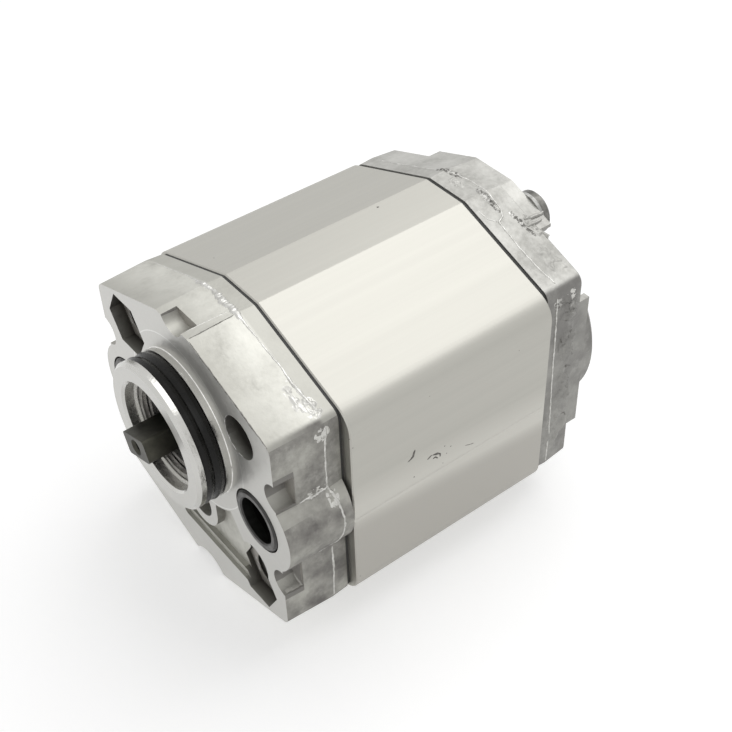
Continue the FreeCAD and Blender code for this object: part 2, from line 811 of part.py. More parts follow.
export(bearing_block(chamber_start_y, True), "front_bearing_block")
export(bearing_block(rear_block_y, False), "rear_bearing_block")
for side_name, start in (("front", chamber_start_y + 0.4), ("rear", rear_block_y + 0.4)):
    export(bush(start, 0), side_name + "_drive_bush")
    export(bush(start, driven_z), side_name + "_driven_bush")
rear_groove_y = rear_block_y + block_length - field_depth
export(field_ring(field_inner, field_outer, chamber_start_y, chamber_start_y + field_depth),
       "front_field_seal")
export(field_ring(field_inner, field_outer, rear_groove_y, rear_groove_y + field_depth), "rear_field_seal")
for end_name, y in (("front", chamber_start_y), ("rear", rear_groove_y)):
    for upper, level in ((True, "upper"), (False, "lower")):
        strip = field_arc(support_inner, field_inner, y, y + field_depth, upper)
        export(strip, end_name + "_" + level + "_seal_support")


# Dowels

def dowel(y_middle, side):
    length = dowel_half_length
    bevel = 0.4
    return spun([
        (0, y_middle - length),
        (dowel_radius - bevel, y_middle - length),
        (dowel_radius, y_middle - length + bevel),
        (dowel_radius, y_middle + length - bevel),
        (dowel_radius - bevel, y_middle + length),
        (0, y_middle + length),
    ], side * dowel_x, section_mid_z + side * dowel_dz)


front_joint_y = front_cover_depth + gasket_thickness / 2
rear_joint_y = body_end_y + gasket_thickness / 2
for joint_name, joint_y in (("front", front_joint_y), ("rear", rear_joint_y)):
    export(dowel(joint_y, 1), joint_name + "_upper_dowel")
    export(dowel(joint_y, -1), joint_name + "_lower_dowel")


# Long screws that hold the stack together, put in from the rear

screw_seat_y = rear_cover_y + screw_seat_depth + washer_thickness


def assembly_screw(x, z):
    tip = hex_pocket_depth + screw_tip_set_back
    head_end = screw_seat_y + screw_head_height
    screw = spun([
        (0, tip),
        (screw_radius - 0.9, tip),
        (screw_radius, tip + 0.9),
        (screw_radius, screw_seat_y),
        (screw_head_radius, screw_seat_y),
        (screw_head_radius, head_end - 0.8),
        (screw_head_radius - 0.8, head_end),
        (0, head_end),
    ], x, z)
    return screw.cut(hexagon(screw_socket_flats, head_end - screw_socket_depth, head_end + 1, x, z))


def screw_washer(x, z):
    y0 = screw_seat_y - washer_thickness
    ring = rod(washer_radius, y0, y0 + washer_thickness, x, z)
    return ring.cut(rod(screw_radius + 0.3, y0 - 1, y0 + 3, x, z))


export(assembly_screw(-bolt_x, bolt_high_z), "upper_assembly_screw")
export(assembly_screw(bolt_x, bolt_low_z), "lower_assembly_screw")
export(screw_washer(-bolt_x, bolt_high_z), "upper_screw_washer")
export(screw_washer(bolt_x, bolt_low_z), "lower_screw_washer")


# Screw plug that closes the drain drilling in the rear cover

plug_seat_y = rear_cover_y + rear_rib_depth + plug_washer_thickness


def drain_plug():
    inner = plug_thread_radius - thread_gap
    tip = rear_cover_y + rear_rib_depth - plug_thread_depth
    thread = spun([
        (0, tip),
        (inner - plug_tip_chamfer, tip),
        (inner, tip + plug_tip_chamfer),
        (inner, plug_seat_y),
        (0, plug_seat_y),
    ], plug_x, plug_z)
    head = spun([
        (0, plug_seat_y),
        (plug_head_radius, plug_seat_y),
        (plug_head_radius, plug_seat_y + plug_head_height - 0.5),
        (plug_head_radius - 0.5, plug_seat_y + plug_head_height),
        (0, plug_seat_y + plug_head_height),
    ], plug_x, plug_z)
    socket = hexagon(plug_head_radius, plug_seat_y + 0.4, plug_seat_y + plug_head_height + 1, plug_x, plug_z)
    return fuse_all([thread, head]).cut(socket)


def plug_washer():
    y0 = plug_seat_y - plug_washer_thickness
    ring = rod(plug_head_radius + 0.2, y0, y0 + plug_washer_thickness, plug_x, plug_z)
    return ring.cut(rod(plug_thread_radius + 0.1, y0 - 1, y0 + 2, plug_x, plug_z))


export(drain_plug(), "drain_plug")
export(plug_washer(), "drain_plug_washer")
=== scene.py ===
import math

import bmesh
import bpy
from mathutils import Matrix, Vector, bvhtree, noise


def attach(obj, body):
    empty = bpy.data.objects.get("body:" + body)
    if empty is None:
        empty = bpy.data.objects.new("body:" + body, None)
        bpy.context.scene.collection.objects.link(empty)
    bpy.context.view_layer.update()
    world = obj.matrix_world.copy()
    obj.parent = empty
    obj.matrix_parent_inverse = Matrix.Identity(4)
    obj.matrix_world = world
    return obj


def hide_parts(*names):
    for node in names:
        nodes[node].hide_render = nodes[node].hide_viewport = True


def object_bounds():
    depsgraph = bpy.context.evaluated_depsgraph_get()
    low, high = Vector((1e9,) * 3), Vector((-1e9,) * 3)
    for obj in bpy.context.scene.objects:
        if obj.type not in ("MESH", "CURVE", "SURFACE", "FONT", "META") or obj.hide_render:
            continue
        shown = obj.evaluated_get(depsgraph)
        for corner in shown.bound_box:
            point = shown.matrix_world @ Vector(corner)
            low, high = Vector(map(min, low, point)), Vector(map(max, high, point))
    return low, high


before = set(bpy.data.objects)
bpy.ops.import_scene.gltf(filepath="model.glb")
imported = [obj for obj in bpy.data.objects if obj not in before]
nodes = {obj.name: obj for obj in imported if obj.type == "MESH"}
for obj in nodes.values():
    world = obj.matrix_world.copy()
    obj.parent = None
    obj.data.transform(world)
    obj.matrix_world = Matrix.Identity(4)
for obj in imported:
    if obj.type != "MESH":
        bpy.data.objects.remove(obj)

cad_low, cad_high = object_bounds()
mm = 0.001


# Studio. A plain white sweep under the pump, a white room that the metal shows, one wide soft box
# overhead and a weak one in front. The pump lies on its lower ridge.
room_diffuse_level = 0.42
room_mirror_level = 1.0
pure_white = (1.0, 1.0, 1.0)
floor_rest_gap = 0.05 * mm
floor_half = 2.5
floor_colour = (0.86, 0.86, 0.86)
floor_lift = 0.44
film_width = 36.0
photo_lens = 62.787


def add_node(tree, kind, inputs=None, settings=None):
    """New shader node; an input takes an output, a number, or a colour of red, green and blue."""
    node = tree.nodes.new("ShaderNode" + kind)
    for key, value in (settings or {}).items():
        setattr(node, key, value)
    for key, value in (inputs or {}).items():
        socket = node.inputs[key]
        if hasattr(value, "is_linked"):
            tree.links.new(value, socket)
        else:
            socket.default_value = (*value, 1.0) if socket.type == "RGBA" else value
    return node


def seen_directly(tree):
    """1 where a ray comes from the camera or from a mirror or clear surface."""
    paths = add_node(tree, "LightPath").outputs
    found = paths["Is Camera Ray"]
    for kind in ("Is Glossy Ray", "Is Transmission Ray"):
        found = add_node(tree, "Math", {0: found, 1: paths[kind]},
                         {"operation": "MAXIMUM"}).outputs[0]
    return found


world = bpy.data.worlds.new("white_room")
bpy.context.scene.world = world
world.use_nodes = True
room = world.node_tree
room.nodes.clear()
room_plain = add_node(room, "Background", {"Color": pure_white, "Strength": room_diffuse_level})
room_white = add_node(room, "Background", {"Color": pure_white, "Strength": room_mirror_level})
room_choice = add_node(room, "MixShader", {0: seen_directly(room), 1: room_plain.outputs[0],
                                           2: room_white.outputs[0]})
add_node(room, "OutputWorld", {"Surface": room_choice.outputs[0]})

floor_mesh = bpy.data.meshes.new("studio_floor")
floor_z = cad_low.z - floor_rest_gap
floor_mesh.from_pydata(
    [(-floor_half, -floor_half, floor_z), (floor_half, -floor_half, floor_z),
     (floor_half, floor_half, floor_z), (-floor_half, floor_half, floor_z)], [], [(0, 1, 2, 3)])
floor = bpy.data.objects.new("studio_floor", floor_mesh)
bpy.context.scene.collection.objects.link(floor)
floor_paint = bpy.data.materials.new("floor_paper")
floor_paint.use_nodes = True
paper = floor_paint.node_tree
paper.nodes.clear()
paper_skin = add_node(paper, "BsdfDiffuse", {"Color": floor_colour})
paper_level = add_node(paper, "Math", {0: seen_directly(paper), 1: floor_lift},
                       {"operation": "MULTIPLY"})
paper_glow = add_node(paper, "Emission", {"Strength": paper_level.outputs[0]})
paper_sum = add_node(paper, "AddShader", {0: paper_skin.outputs[0], 1: paper_glow.outputs[0]})
add_node(paper, "OutputMaterial", {"Surface": paper_sum.outputs[0]})
floor_mesh.materials.append(floor_paint)

pump_middle = (cad_low + cad_high) / 2


def soft_box(name, direction, distance, size, watts):
    lamp = bpy.data.lights.new(name, "AREA")
    lamp.shape = "SQUARE"
    lamp.size = size
    lamp.energy = watts
    lamp_object = bpy.data.objects.new(name, lamp)
    away = Vector(direction).normalized()
    lamp_object.location = pump_middle + away * distance
    lamp_object.rotation_mode = "QUATERNION"
    lamp_object.rotation_quaternion = away.to_track_quat("Z", "Y")
    bpy.context.scene.collection.objects.link(lamp_object)


soft_box("overhead_box", direction=(-0.10, 0.44, 0.89), distance=0.75, size=0.70, watts=2.35)
soft_box("front_box", direction=(0.55, -0.75, 0.60), distance=0.90, size=0.50, watts=0.60)

camera_place = Vector((0.16505, -0.07757, 0.17580))
camera_right = Vector((0.612402, 0.790105, -0.026426))
camera_down = Vector((0.520472, -0.428122, -0.738796))
camera_forward = Vector((-0.595041, 0.438686, -0.673410))
camera_data = bpy.data.cameras.new("photo_camera")
camera_data.sensor_width = film_width
camera_data.lens = photo_lens
camera = bpy.data.objects.new("photo_camera", camera_data)
turn = Matrix((camera_right, -camera_down, -camera_forward)).transposed().to_4x4()
camera.matrix_world = Matrix.Translation(camera_place) @ turn
bpy.context.scene.collection.objects.link(camera)
bpy.context.scene.camera = camera
bpy.context.scene.view_settings.view_transform = "Standard"


# Front cover. A die casting in aluminium with a grey, faintly mottled skin; its mounting face is
# milled and its spigot and bores are turned, so they are brighter and smoother. The notches and
# pockets stay raw; painted shade darkens them and the deep holes.
front_skin_light = (0.62, 0.616, 0.573)
front_skin_dark = (0.40, 0.395, 0.362)
front_side_shade = (0.160, 0.153, 0.145)
notch_painted_shade = (0.21, 0.203, 0.19)
milled_face = (0.565, 0.56, 0.535)
land_highlight_colour = (0.82, 0.82, 0.80)
pocket_brown = (0.40, 0.385, 0.355)
hole_shade_brown = (0.10, 0.092, 0.082)
port_shade_black = (0.012, 0.011, 0.010)
wall_shade = (0.065, 0.061, 0.054)
cloud_noise = (120.0, 5.0, 0.6)
blotch_noise = (55.0, 3.0, 0.5)
grain_noise = (900.0, 3.0, 0.6)
wear_noise = (210.0, 6.0, 0.7)
wear_share = 0.30
swell_noise = (260.0, 4.0, 0.6)
swell_relief = (0.30 * mm, 0.45)
pore_noise = (1500.0, 2.0, 0.5)
pore_relief = (0.05 * mm, 0.6)
sideways_range = (0.40, 0.70)
cast_flank = (31.2 * mm, 31.4 * mm)
face_depth = 0.1 * mm
facing_range = (0.93, 0.97)
seal_bore_reach = 12 * mm
section_middle_z = -9 * mm
notch_side_x = 27.2 * mm
notch_far_z = 17 * mm
notch_near_z = 7.8 * mm
notch_end_y = 4.4 * mm
slope_shade_front = (9.0 * mm, 1.0 * mm)
slope_shade_rear = (11.0 * mm, 11.8 * mm)
slope_shade_share = 0.75
slope_upward = 0.5
land_highlight_radius = 19.6 * mm
land_highlight_half = 0.12 * mm
land_highlight_share = 0.6
bolt_holes = ((20.25, 11.25), (-20.25, -29.25))
bolt_hole_reach = 4.75
bolt_hole_fade = (0.25 * mm, 2.4 * mm)
port_mouths = ((23.1, -9.0, 5.3), (-23.1, -9.0, 6.6))
port_fade = (0.1 * mm, 1.0 * mm)
screw_pockets = ((-20.25, 11.25), (20.25, -29.25))
pocket_reach = 7.0
pocket_floor_start = 2.5 * mm
pocket_wall_fade = (-0.6 * mm, 2.6 * mm)
pocket_wall_end = 3.6 * mm
raw_and_turned_sheen = (0.56, 0.24)
milled_haze_level = 0.14
turning_pitch = 0.35 * mm
turning_relief = (0.003 * mm, 0.4)


class Finish:
    """Node material for one finish of the pump, with the node patterns that its metals share."""

    def __init__(self, name, metallic, roughness):
        self.material = bpy.data.materials.new(name)
        self.material.use_nodes = True
        self.tree = self.material.node_tree
        self.tree.nodes.clear()
        self.skin = self.add("BsdfPrincipled", {"Metallic": metallic, "Roughness": roughness})
        self.add("OutputMaterial", {"Surface": self.skin.outputs[0]})
        coordinates = self.add("TexCoord")
        self.place = coordinates.outputs["Object"]
        self.normal = coordinates.outputs["Normal"]
        self.relief = None

    def add(self, kind, inputs=None, **settings):
        return add_node(self.tree, kind, inputs, settings)

    def maths(self, operation, first, second=0.0):
        return self.add("Math", {0: first, 1: second}, operation=operation).outputs[0]

    def both(self, first, second):
        """1 where both are 1, or one number times the other."""
        return self.maths("MULTIPLY", first, second)

    def either(self, first, second):
        return self.maths("MAXIMUM", first, second)

    def over(self, value, limit):
        return self.maths("GREATER_THAN", value, limit)

    def under(self, value, limit):
        return self.maths("LESS_THAN", value, limit)

    def size_of(self, value):
        return self.maths("ABSOLUTE", value)

    def part_of(self, vector, axis):
        return self.add("SeparateXYZ", {0: vector}).outputs["XYZ".index(axis)]

    def stretched(self, scale):
        return self.add("Mapping", {"Scale": scale, "Vector": self.place}).outputs[0]

    def noise(self, scale, detail, rough, place=None):
        return self.add("TexNoise", {"Scale": scale, "Detail": detail, "Roughness": rough,
                                     "Vector": place or self.place}).outputs["Fac"]

    def rings(self, pitch):
        """Fine turning marks round the shaft's line."""
        inputs = {"Scale": 2 * math.pi / (20 * pitch), "Distortion": 0.6, "Vector": self.place}
        return self.add("TexWave", inputs, wave_type="RINGS", rings_direction="Y").outputs["Fac"]

    def step(self, value, low, high):
        """0 below low, 1 above high, even between them."""
        return self.add("MapRange", {"Value": value, "From Min": low,
                                     "From Max": high}).outputs["Result"]

    def spread(self, factor, low, high):
        """Number that runs from low to high with the factor."""
        return self.add("MapRange", {"Value": factor, "To Min": low,
                                     "To Max": high}).outputs["Result"]

    def mix(self, factor, first, second):
        inputs = {"Factor": factor, 6: first, 7: second}
        return self.add("Mix", inputs, data_type="RGBA").outputs[2]

    def colour(self, value):
        self.tree.links.new(value, self.skin.inputs["Base Color"])

    def roughness(self, value):
        self.tree.links.new(value, self.skin.inputs["Roughness"])

    def bump(self, height, distance, strength):
        node = self.add("Bump", {"Distance": distance, "Strength": strength, "Height": height})
        if self.relief:
            self.tree.links.new(self.relief, node.inputs["Normal"])
        self.relief = node.outputs["Normal"]
        self.tree.links.new(self.relief, self.skin.inputs["Normal"])

    def paint(self, *names):
        for name in names:
            nodes[name].material_slots[0].material = self.material


def cast_skin(finish, light, dark, side):
    """Mottled skin of a die casting: cloudy greys. The sides facing left and right, and all beyond
    the flank, are darker, partly a duller skin where the die dragged and partly painted shade.
    """
    clouds = finish.step(finish.noise(*cloud_noise), 0.36, 0.66)
    grain = finish.noise(*grain_noise)
    blotches = finish.step(finish.noise(*blotch_noise), 0.42, 0.60)
    shade = finish.both(finish.maths("ADD", clouds, blotches), grain)
    top_colour = finish.mix(shade, light, dark)
    # Painted shade with a duller skin: sides facing left and right, and all beyond the flank, take
    # the darker side colour
    sideways = finish.step(finish.size_of(finish.part_of(finish.normal, "X")), *sideways_range)
    outside = finish.step(finish.size_of(finish.part_of(finish.place, "X")), *cast_flank)
    side_shade_factor = finish.either(sideways, outside)
    worn = finish.both(finish.step(finish.noise(*wear_noise), 0.52, 0.70), wear_share)
    shaded_side_colour = finish.mix(worn, finish.mix(clouds, side, dark), light)
    finish.bump(finish.noise(*swell_noise), *swell_relief)
    finish.bump(finish.noise(*pore_noise), *pore_relief)
    return finish.mix(side_shade_factor, top_colour, shaded_side_colour), clouds


def inside_hole(finish, x, z, radius):
    """1 within a hole that runs along the shaft's direction, in millimetres."""
    aside = finish.maths("SUBTRACT", finish.part_of(finish.place, "X"), x * mm)
    above = finish.maths("SUBTRACT", finish.part_of(finish.place, "Z"), z * mm)
    squares = finish.maths("ADD", finish.both(aside, aside), finish.both(above, above))
    return finish.under(squares, (radius * mm) ** 2)


def dark_below(finish, holes, top, bottom):
    """Shade that deepens from the mouth of the holes inwards."""
    found = inside_hole(finish, *holes[0])
    for hole in holes[1:]:
        found = finish.either(found, inside_hole(finish, *hole))
    return finish.both(found, finish.step(finish.part_of(finish.place, "Y"), top, bottom))


front_cast = Finish("cast_aluminium_front", 1.0, 0.5)
skin_colour, _ = cast_skin(front_cast, front_skin_light, front_skin_dark, front_side_shade)
along = front_cast.part_of(front_cast.place, "Y")
facing = front_cast.both(front_cast.part_of(front_cast.normal, "Y"), -1.0)
on_front = front_cast.step(facing, *facing_range)
at_face = front_cast.both(front_cast.under(along, face_depth), on_front)
spigot_zone = front_cast.under(along, -face_depth)
across = front_cast.part_of(front_cast.place, "X")
upward = front_cast.part_of(front_cast.place, "Z")
from_shaft = front_cast.maths("SQRT", front_cast.maths(
    "ADD", front_cast.both(across, across), front_cast.both(upward, upward)))
shaft_bore = front_cast.under(from_shaft, seal_bore_reach)
machined = front_cast.either(front_cast.either(at_face, spigot_zone), shaft_bore)

from_middle = front_cast.size_of(front_cast.maths("SUBTRACT", upward, section_middle_z))
# Painted shade in the side notches: their surfaces take a darker grey
notch_shade = front_cast.both(front_cast.over(front_cast.size_of(across), notch_side_x),
                        front_cast.under(from_middle, notch_far_z))
notch_shade = front_cast.both(notch_shade, front_cast.over(from_middle, notch_near_z))
notch_shade = front_cast.both(notch_shade, front_cast.under(along, notch_end_y))
skin_colour = front_cast.mix(notch_shade, skin_colour, notch_painted_shade)
# Painted shade on the upward slopes near the mounting face and between the flash and the gasket
shade_near_ends = front_cast.either(front_cast.step(along, *slope_shade_front),
                              front_cast.step(along, *slope_shade_rear))
on_slopes = front_cast.over(front_cast.part_of(front_cast.normal, "Z"), slope_upward)
slope_painted_shade = front_cast.both(front_cast.both(shade_near_ends, on_slopes), slope_shade_share)
skin_colour = front_cast.mix(slope_painted_shade, skin_colour, front_skin_dark)
# Painted highlight: a thin bright ring on the milled face at the edge of the land round the spigot
from_land = front_cast.maths("SUBTRACT", from_shaft, land_highlight_radius)
land_edge_highlight = front_cast.under(front_cast.size_of(from_land), land_highlight_half)
face_colour = front_cast.mix(front_cast.both(land_edge_highlight, land_highlight_share), milled_face, land_highlight_colour)

# Painted shade inside the bolt holes and port bores, deepening from their mouths inwards
hole_painted_shade = dark_below(front_cast, [(*place, bolt_hole_reach) for place in bolt_holes],
                        *bolt_hole_fade)
port_painted_shade = dark_below(front_cast, port_mouths, *port_fade)
in_pocket = front_cast.both(front_cast.over(along, pocket_floor_start), on_front)
raw = front_cast.mix(in_pocket, skin_colour, pocket_brown)
# Painted shade on the walls of the screw pockets
in_pockets = front_cast.either(*(inside_hole(front_cast, *place, pocket_reach)
                                 for place in screw_pockets))
pocket_depth = front_cast.both(front_cast.step(along, *pocket_wall_fade),
                               front_cast.under(along, pocket_wall_end))
not_floor = front_cast.maths("SUBTRACT", 1.0, on_front)
pocket_wall_shade = front_cast.both(front_cast.both(in_pockets, pocket_depth), not_floor)
metal_colour = front_cast.mix(pocket_wall_shade, front_cast.mix(machined, raw, face_colour), wall_shade)
metal_colour = front_cast.mix(hole_painted_shade, metal_colour, hole_shade_brown)
front_cast.colour(front_cast.mix(port_painted_shade, metal_colour, port_shade_black))
milled_haze = front_cast.both(at_face, milled_haze_level)
cast_sheen = front_cast.spread(machined, *raw_and_turned_sheen)
front_cast.roughness(front_cast.maths("ADD", cast_sheen, milled_haze))
turning = front_cast.both(front_cast.rings(turning_pitch), spigot_zone)
front_cast.bump(turning, *turning_relief)
front_cast.paint("front_cover")


# Parting flash of the front cover. Thin ragged beads of bare aluminium, squeezed out where the
# halves of the die met and only roughly filed: thick over the upper ridge, fine along the slopes,
# the sides and round the boss of each port.
flash_bright = (0.62, 0.615, 0.59)
flash_grey = (0.46, 0.455, 0.43)
flash_step = 0.14 * mm
flash_sink = 0.03 * mm
bead_taper = 0.8 * mm
bead_points = 7
knot_step = 0.5 * mm
search_back = 5 * mm
search_reach = 12 * mm
above_ridge = 22.0
beyond_flank = 31.0


def speckled(name, metallic, roughness, spots, tones, sheen, relief=None):
    """Finish of two tones in one noise pattern, which sets the sheen too, with a fine relief.

    spots is scale, detail, roughness and the two ends of its step; relief is scale, detail,
    roughness, depth in millimetres and strength.
    """
    finish = Finish(name, metallic, roughness)
    pattern = finish.step(finish.noise(*spots[:3]), *spots[3:])
    finish.colour(finish.mix(pattern, *tones))
    finish.roughness(finish.spread(pattern, *sheen))
    if relief:
        finish.bump(finish.noise(*relief[:3]), relief[3] * mm, relief[4])
    return finish


def skin_of(name):
    """Searchable surface of one CAD piece, so that what grows on it lies on it."""
    solid = nodes[name]
    corners = [solid.matrix_world @ corner.co for corner in solid.data.vertices]
    faces = [tuple(face.vertices) for face in solid.data.polygons]
    return bvhtree.BVHTree.FromPolygons(corners, faces)


def landed(skin, place, inward):
    """Point and outward normal where a line along inward meets the skin."""
    found, normal, _, _ = skin.ray_cast(place - inward * search_back, inward, search_reach)
    if found is None:
        return place, -inward
    return found, (normal if normal.dot(inward) < 0 else -normal)


def traced(skin, points, inward):
    """Knots at even steps along points given in millimetres with a size each, all on the skin."""
    knots = []
    for start, end in zip(points[:-1], points[1:]):
        first = Vector(start[:3]) * mm
        second = Vector(end[:3]) * mm
        count = max(1, int((second - first).length / knot_step))
        for index in range(count):
            share = index / count
            place, outward = landed(skin, first.lerp(second, share), inward)
            knots.append((place, outward, start[3] + (end[3] - start[3]) * share))
    place, outward = landed(skin, Vector(points[-1][:3]) * mm, inward)
    knots.append((place, outward, points[-1][3]))
    return knots


def lobe(value, seed):
    """Smooth noise along a line, from -1 to 1."""
    return noise.noise(Vector((value, seed * 7.31, seed * 3.17)))


def bead(mesh, knots, half_width, height, ragged, seed):
    """Lumpy bead in millimetres through knots of place, outward normal and size, sunk a little."""
    half_width *= mm
    height *= mm
    travelled = 0.0
    rows = []
    for start, end in zip(knots[:-1], knots[1:]):
        length = (end[0] - start[0]).length
        count = max(2, int(length / flash_step))
        for index in range(count):
            share = index / count
            place = start[0].lerp(end[0], share)
            outward = start[1].lerp(end[1], share).normalized()
            size = start[2] + (end[2] - start[2]) * share
            along_line = (end[0] - start[0]).normalized()
            rows.append((place, outward, size, along_line, travelled + length * share))
        travelled += length
    rings = []
    for place, outward, size, along_line, distance in rows:
        reach = distance / mm
        side = along_line.cross(outward).normalized()
        wander = half_width * ragged * lobe(reach * 0.9, seed)
        swell = (1.0 + 0.9 * ragged * lobe(reach * 0.8, seed + 1)
                 + 0.5 * ragged * lobe(reach * 2.3, seed + 2))
        ends = min(1.0, 0.15 + distance / bead_taper, 0.15 + (travelled - distance) / bead_taper)
        wide = half_width * size * max(0.4, swell) * ends
        high = height * size * max(0.5, swell) * ends
        ring = []
        for point in range(bead_points):
            across_share = point / ((bead_points - 1) / 2) - 1.0
            bulge = math.sqrt(max(0.0, 1.0 - across_share ** 2))
            chip = 1.0 + 0.5 * ragged * lobe(reach * 1.9 + across_share * 2.0, seed + 3)
            ring.append(mesh.verts.new(place + side * (wander + across_share * wide)
                                       + outward * (high * bulge * chip - flash_sink)))
        rings.append(ring)
    for first, second in zip(rings[:-1], rings[1:]):
        for index in range(bead_points - 1):
            mesh.faces.new((first[index], first[index + 1], second[index + 1], second[index]))


def settle(mesh, name, metal):
    """Make one object of a mesh, smooth it and let it ride on the pump's fixed body."""
    bmesh.ops.recalc_face_normals(mesh, faces=mesh.faces)
    for face in mesh.faces:
        face.smooth = True
    data = bpy.data.meshes.new(name)
    mesh.to_mesh(data)
    mesh.free()
    data.materials.append(metal.material)
    piece = bpy.data.objects.new(name, data)
    bpy.context.scene.collection.objects.link(piece)
    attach(piece, "stator")
    return piece


def line_on(skin, side, points):
    """Knots over the ridge from x, y and size, or on a side wall from y, z and size."""
    if side == "top":
        return traced(skin, [(x, y, above_ridge, size) for x, y, size in points], down)
    x, inward = (beyond_flank, leftward) if side == "right" else (-beyond_flank, rightward)
    return traced(skin, [(x, y, z, size) for y, z, size in points], inward)


def beads(mesh, skin, *rows):
    """Beads on a skin; a row is half width, height, raggedness, seed, side and the points."""
    for half_width, height, ragged, seed, side, *points in rows:
        bead(mesh, line_on(skin, side, points), half_width, height, ragged, seed)


down = Vector((0.0, 0.0, -1.0))
leftward = Vector((-1.0, 0.0, 0.0))
rightward = Vector((1.0, 0.0, 0.0))
front_skin = skin_of("front_cover")
flash_metal = speckled("bare_flash_aluminium", 1.0, 0.34, (900.0, 4.0, 0.6, 0.35, 0.65),
                       (flash_bright, flash_grey), (0.28, 0.5), (2600.0, 3.0, 0.6, 0.03, 0.6))
front_flash = bmesh.new()
beads(front_flash, front_skin,
      (0.20, 0.12, 0.5, 3, "top", (-27.5, 11.3, 0.5), (-21.0, 11.2, 0.7), (-14.0, 11.3, 0.5),
       (-9.4, 11.1, 0.9), (-7.0, 10.9, 1.4)),
      (0.66, 0.30, 0.6, 11, "top", (-9.4, 10.9, 0.4), (-5.6, 10.8, 0.9), (-2.2, 11.1, 0.8),
       (0.2, 10.8, 1.2), (2.6, 10.9, 1.1), (5.6, 10.9, 1.0), (7.6, 10.7, 0.5)),
      (0.22, 0.16, 0.5, 17, "top", (5.6, 10.8, 1.3), (9.0, 11.0, 0.9), (14.0, 11.2, 0.8),
       (19.0, 11.4, 1.0), (22.0, 11.2, 1.5), (25.0, 11.5, 1.5), (28.6, 11.8, 1.2)),
      (0.24, 0.16, 0.5, 23, "right", (11.7, 14.8, 2.2), (11.6, 12.4, 1.2), (11.4, 9.3, 0.9),
       (11.3, 4.5, 1.0), (11.3, -0.3, 0.9)),
      (0.22, 0.15, 0.5, 29, "right", (11.5, -17.8, 1.0), (11.6, -24.4, 1.2), (11.3, -29.9, 0.9),
       (11.2, -33.0, 0.9)),
      (0.40, 0.28, 1.0, 43, "right", (4.9, -1.0, 0.5), (7.0, -0.9, 1.1), (9.4, -0.8, 1.0),
       (11.7, -0.7, 1.9)),
      (0.22, 0.18, 0.9, 47, "right", (11.5, -0.5, 1.4), (12.4, -4.0, 1.0), (12.7, -8.0, 0.9),
       (12.4, -12.0, 0.9), (11.7, -15.4, 0.9), (10.2, -16.9, 1.0), (8.2, -17.3, 0.7)),
      (0.22, 0.15, 0.5, 31, "left", (11.3, 14.6, 0.9), (11.4, 8.0, 1.0), (11.3, -0.3, 0.8)),
      (0.20, 0.15, 0.8, 49, "left", (11.4, -0.5, 1.0), (12.5, -5.0, 0.9), (12.6, -9.0, 0.9),
       (12.3, -13.5, 0.9), (11.4, -17.2, 1.0)),
      (0.22, 0.15, 0.5, 37, "left", (11.5, -17.8, 0.9), (11.4, -25.0, 1.1), (11.3, -33.0, 0.8)),
      (0.12, 0.06, 0.4, 41, "top", (3.6, 0.6, 0.8), (3.7, 4.0, 1.0), (3.9, 7.5, 0.8),
       (4.1, 10.2, 0.9)))
settle(front_flash, "front_cover_parting_flash", flash_metal)


# Rough skin of the front cover. Where the flash was knocked off and where metal soldered to the
# die, the skin stands up in low lumps and flakes; the patches are part of the casting.
lump_light = (0.62, 0.615, 0.585)
lump_grey = (0.46, 0.455, 0.43)
lump_metal = speckled("rough_cast_aluminium", 1.0, 0.48, (420.0, 5.0, 0.65, 0.38, 0.66),
                      (lump_light, lump_grey), (0.42, 0.58), (1900.0, 3.0, 0.6, 0.04, 0.6))


def patch(mesh, skin, inward, corner, first_edge, second_edge, height, coarse, seed, cells=36):
    """Ragged patch of lumps over a parallelogram of the skin, in millimetres; its rim sinks in."""
    grid = []
    for row in range(cells + 1):
        line = []
        for column in range(cells + 1):
            u = column / cells
            v = row / cells
            reach = Vector(corner) + Vector(first_edge) * u + Vector(second_edge) * v
            place, outward = landed(skin, reach * mm, inward)
            wobble = noise.noise(reach * 0.55 + Vector((seed, 2.0, 5.0)))
            inside = 1.0 - 2.0 * math.sqrt((u - 0.5) ** 2 + (v - 0.5) ** 2) + 0.5 * wobble
            border = min(1.0, 5.0 * min(u, 1.0 - u, v, 1.0 - v))
            rim = max(0.0, min(1.0, 2.2 * inside)) * border
            low = noise.noise(reach * coarse + Vector((0.0, seed, 1.0)))
            fine = noise.noise(reach * coarse * 2.9 + Vector((seed, 0.0, 3.0)))
            lift = max(-0.2, 0.30 + 0.95 * low + 0.45 * fine)
            line.append(mesh.verts.new(place + outward * (height * mm * lift * rim - flash_sink)))
        grid.append(line)
    for row in range(cells):
        for column in range(cells):
            mesh.faces.new((grid[row][column], grid[row][column + 1],
                            grid[row + 1][column + 1], grid[row + 1][column]))


def patches(mesh, skin, inward, *rows):
    """Patches seen along one direction; a row is what patch wants from its corner on."""
    for row in rows:
        patch(mesh, skin, inward, *row)


front_rough = bmesh.new()
patches(front_rough, front_skin, down,
        ((20.6, 8.2, 20.0), (9.4, 0.0, 0.0), (0.0, 4.2, 0.0), 0.34, 0.9, 5.0),
        ((25.0, 10.0, 20.0), (5.2, 0.0, 0.0), (0.0, 3.2, 0.0), 0.38, 1.2, 9.0),
        ((-5.0, 9.4, 20.0), (6.0, 0.0, 0.0), (0.0, 2.6, 0.0), 0.24, 1.0, 15.0))
patches(front_rough, front_skin, leftward,
        ((31.0, 9.0, 15.8), (0.0, 4.0, 0.0), (0.0, 0.0, -4.6), 0.26, 1.1, 19.0),
        ((31.0, 6.2, 0.9), (0.0, 5.8, 0.0), (0.0, 0.0, -2.1), 0.30, 1.3, 31.0),
        ((31.0, 10.2, -1.0), (0.0, 2.9, 0.0), (0.0, 0.0, -3.8), 0.30, 1.3, 34.0))
settle(front_rough, "front_cover_rough_skin", lump_metal)

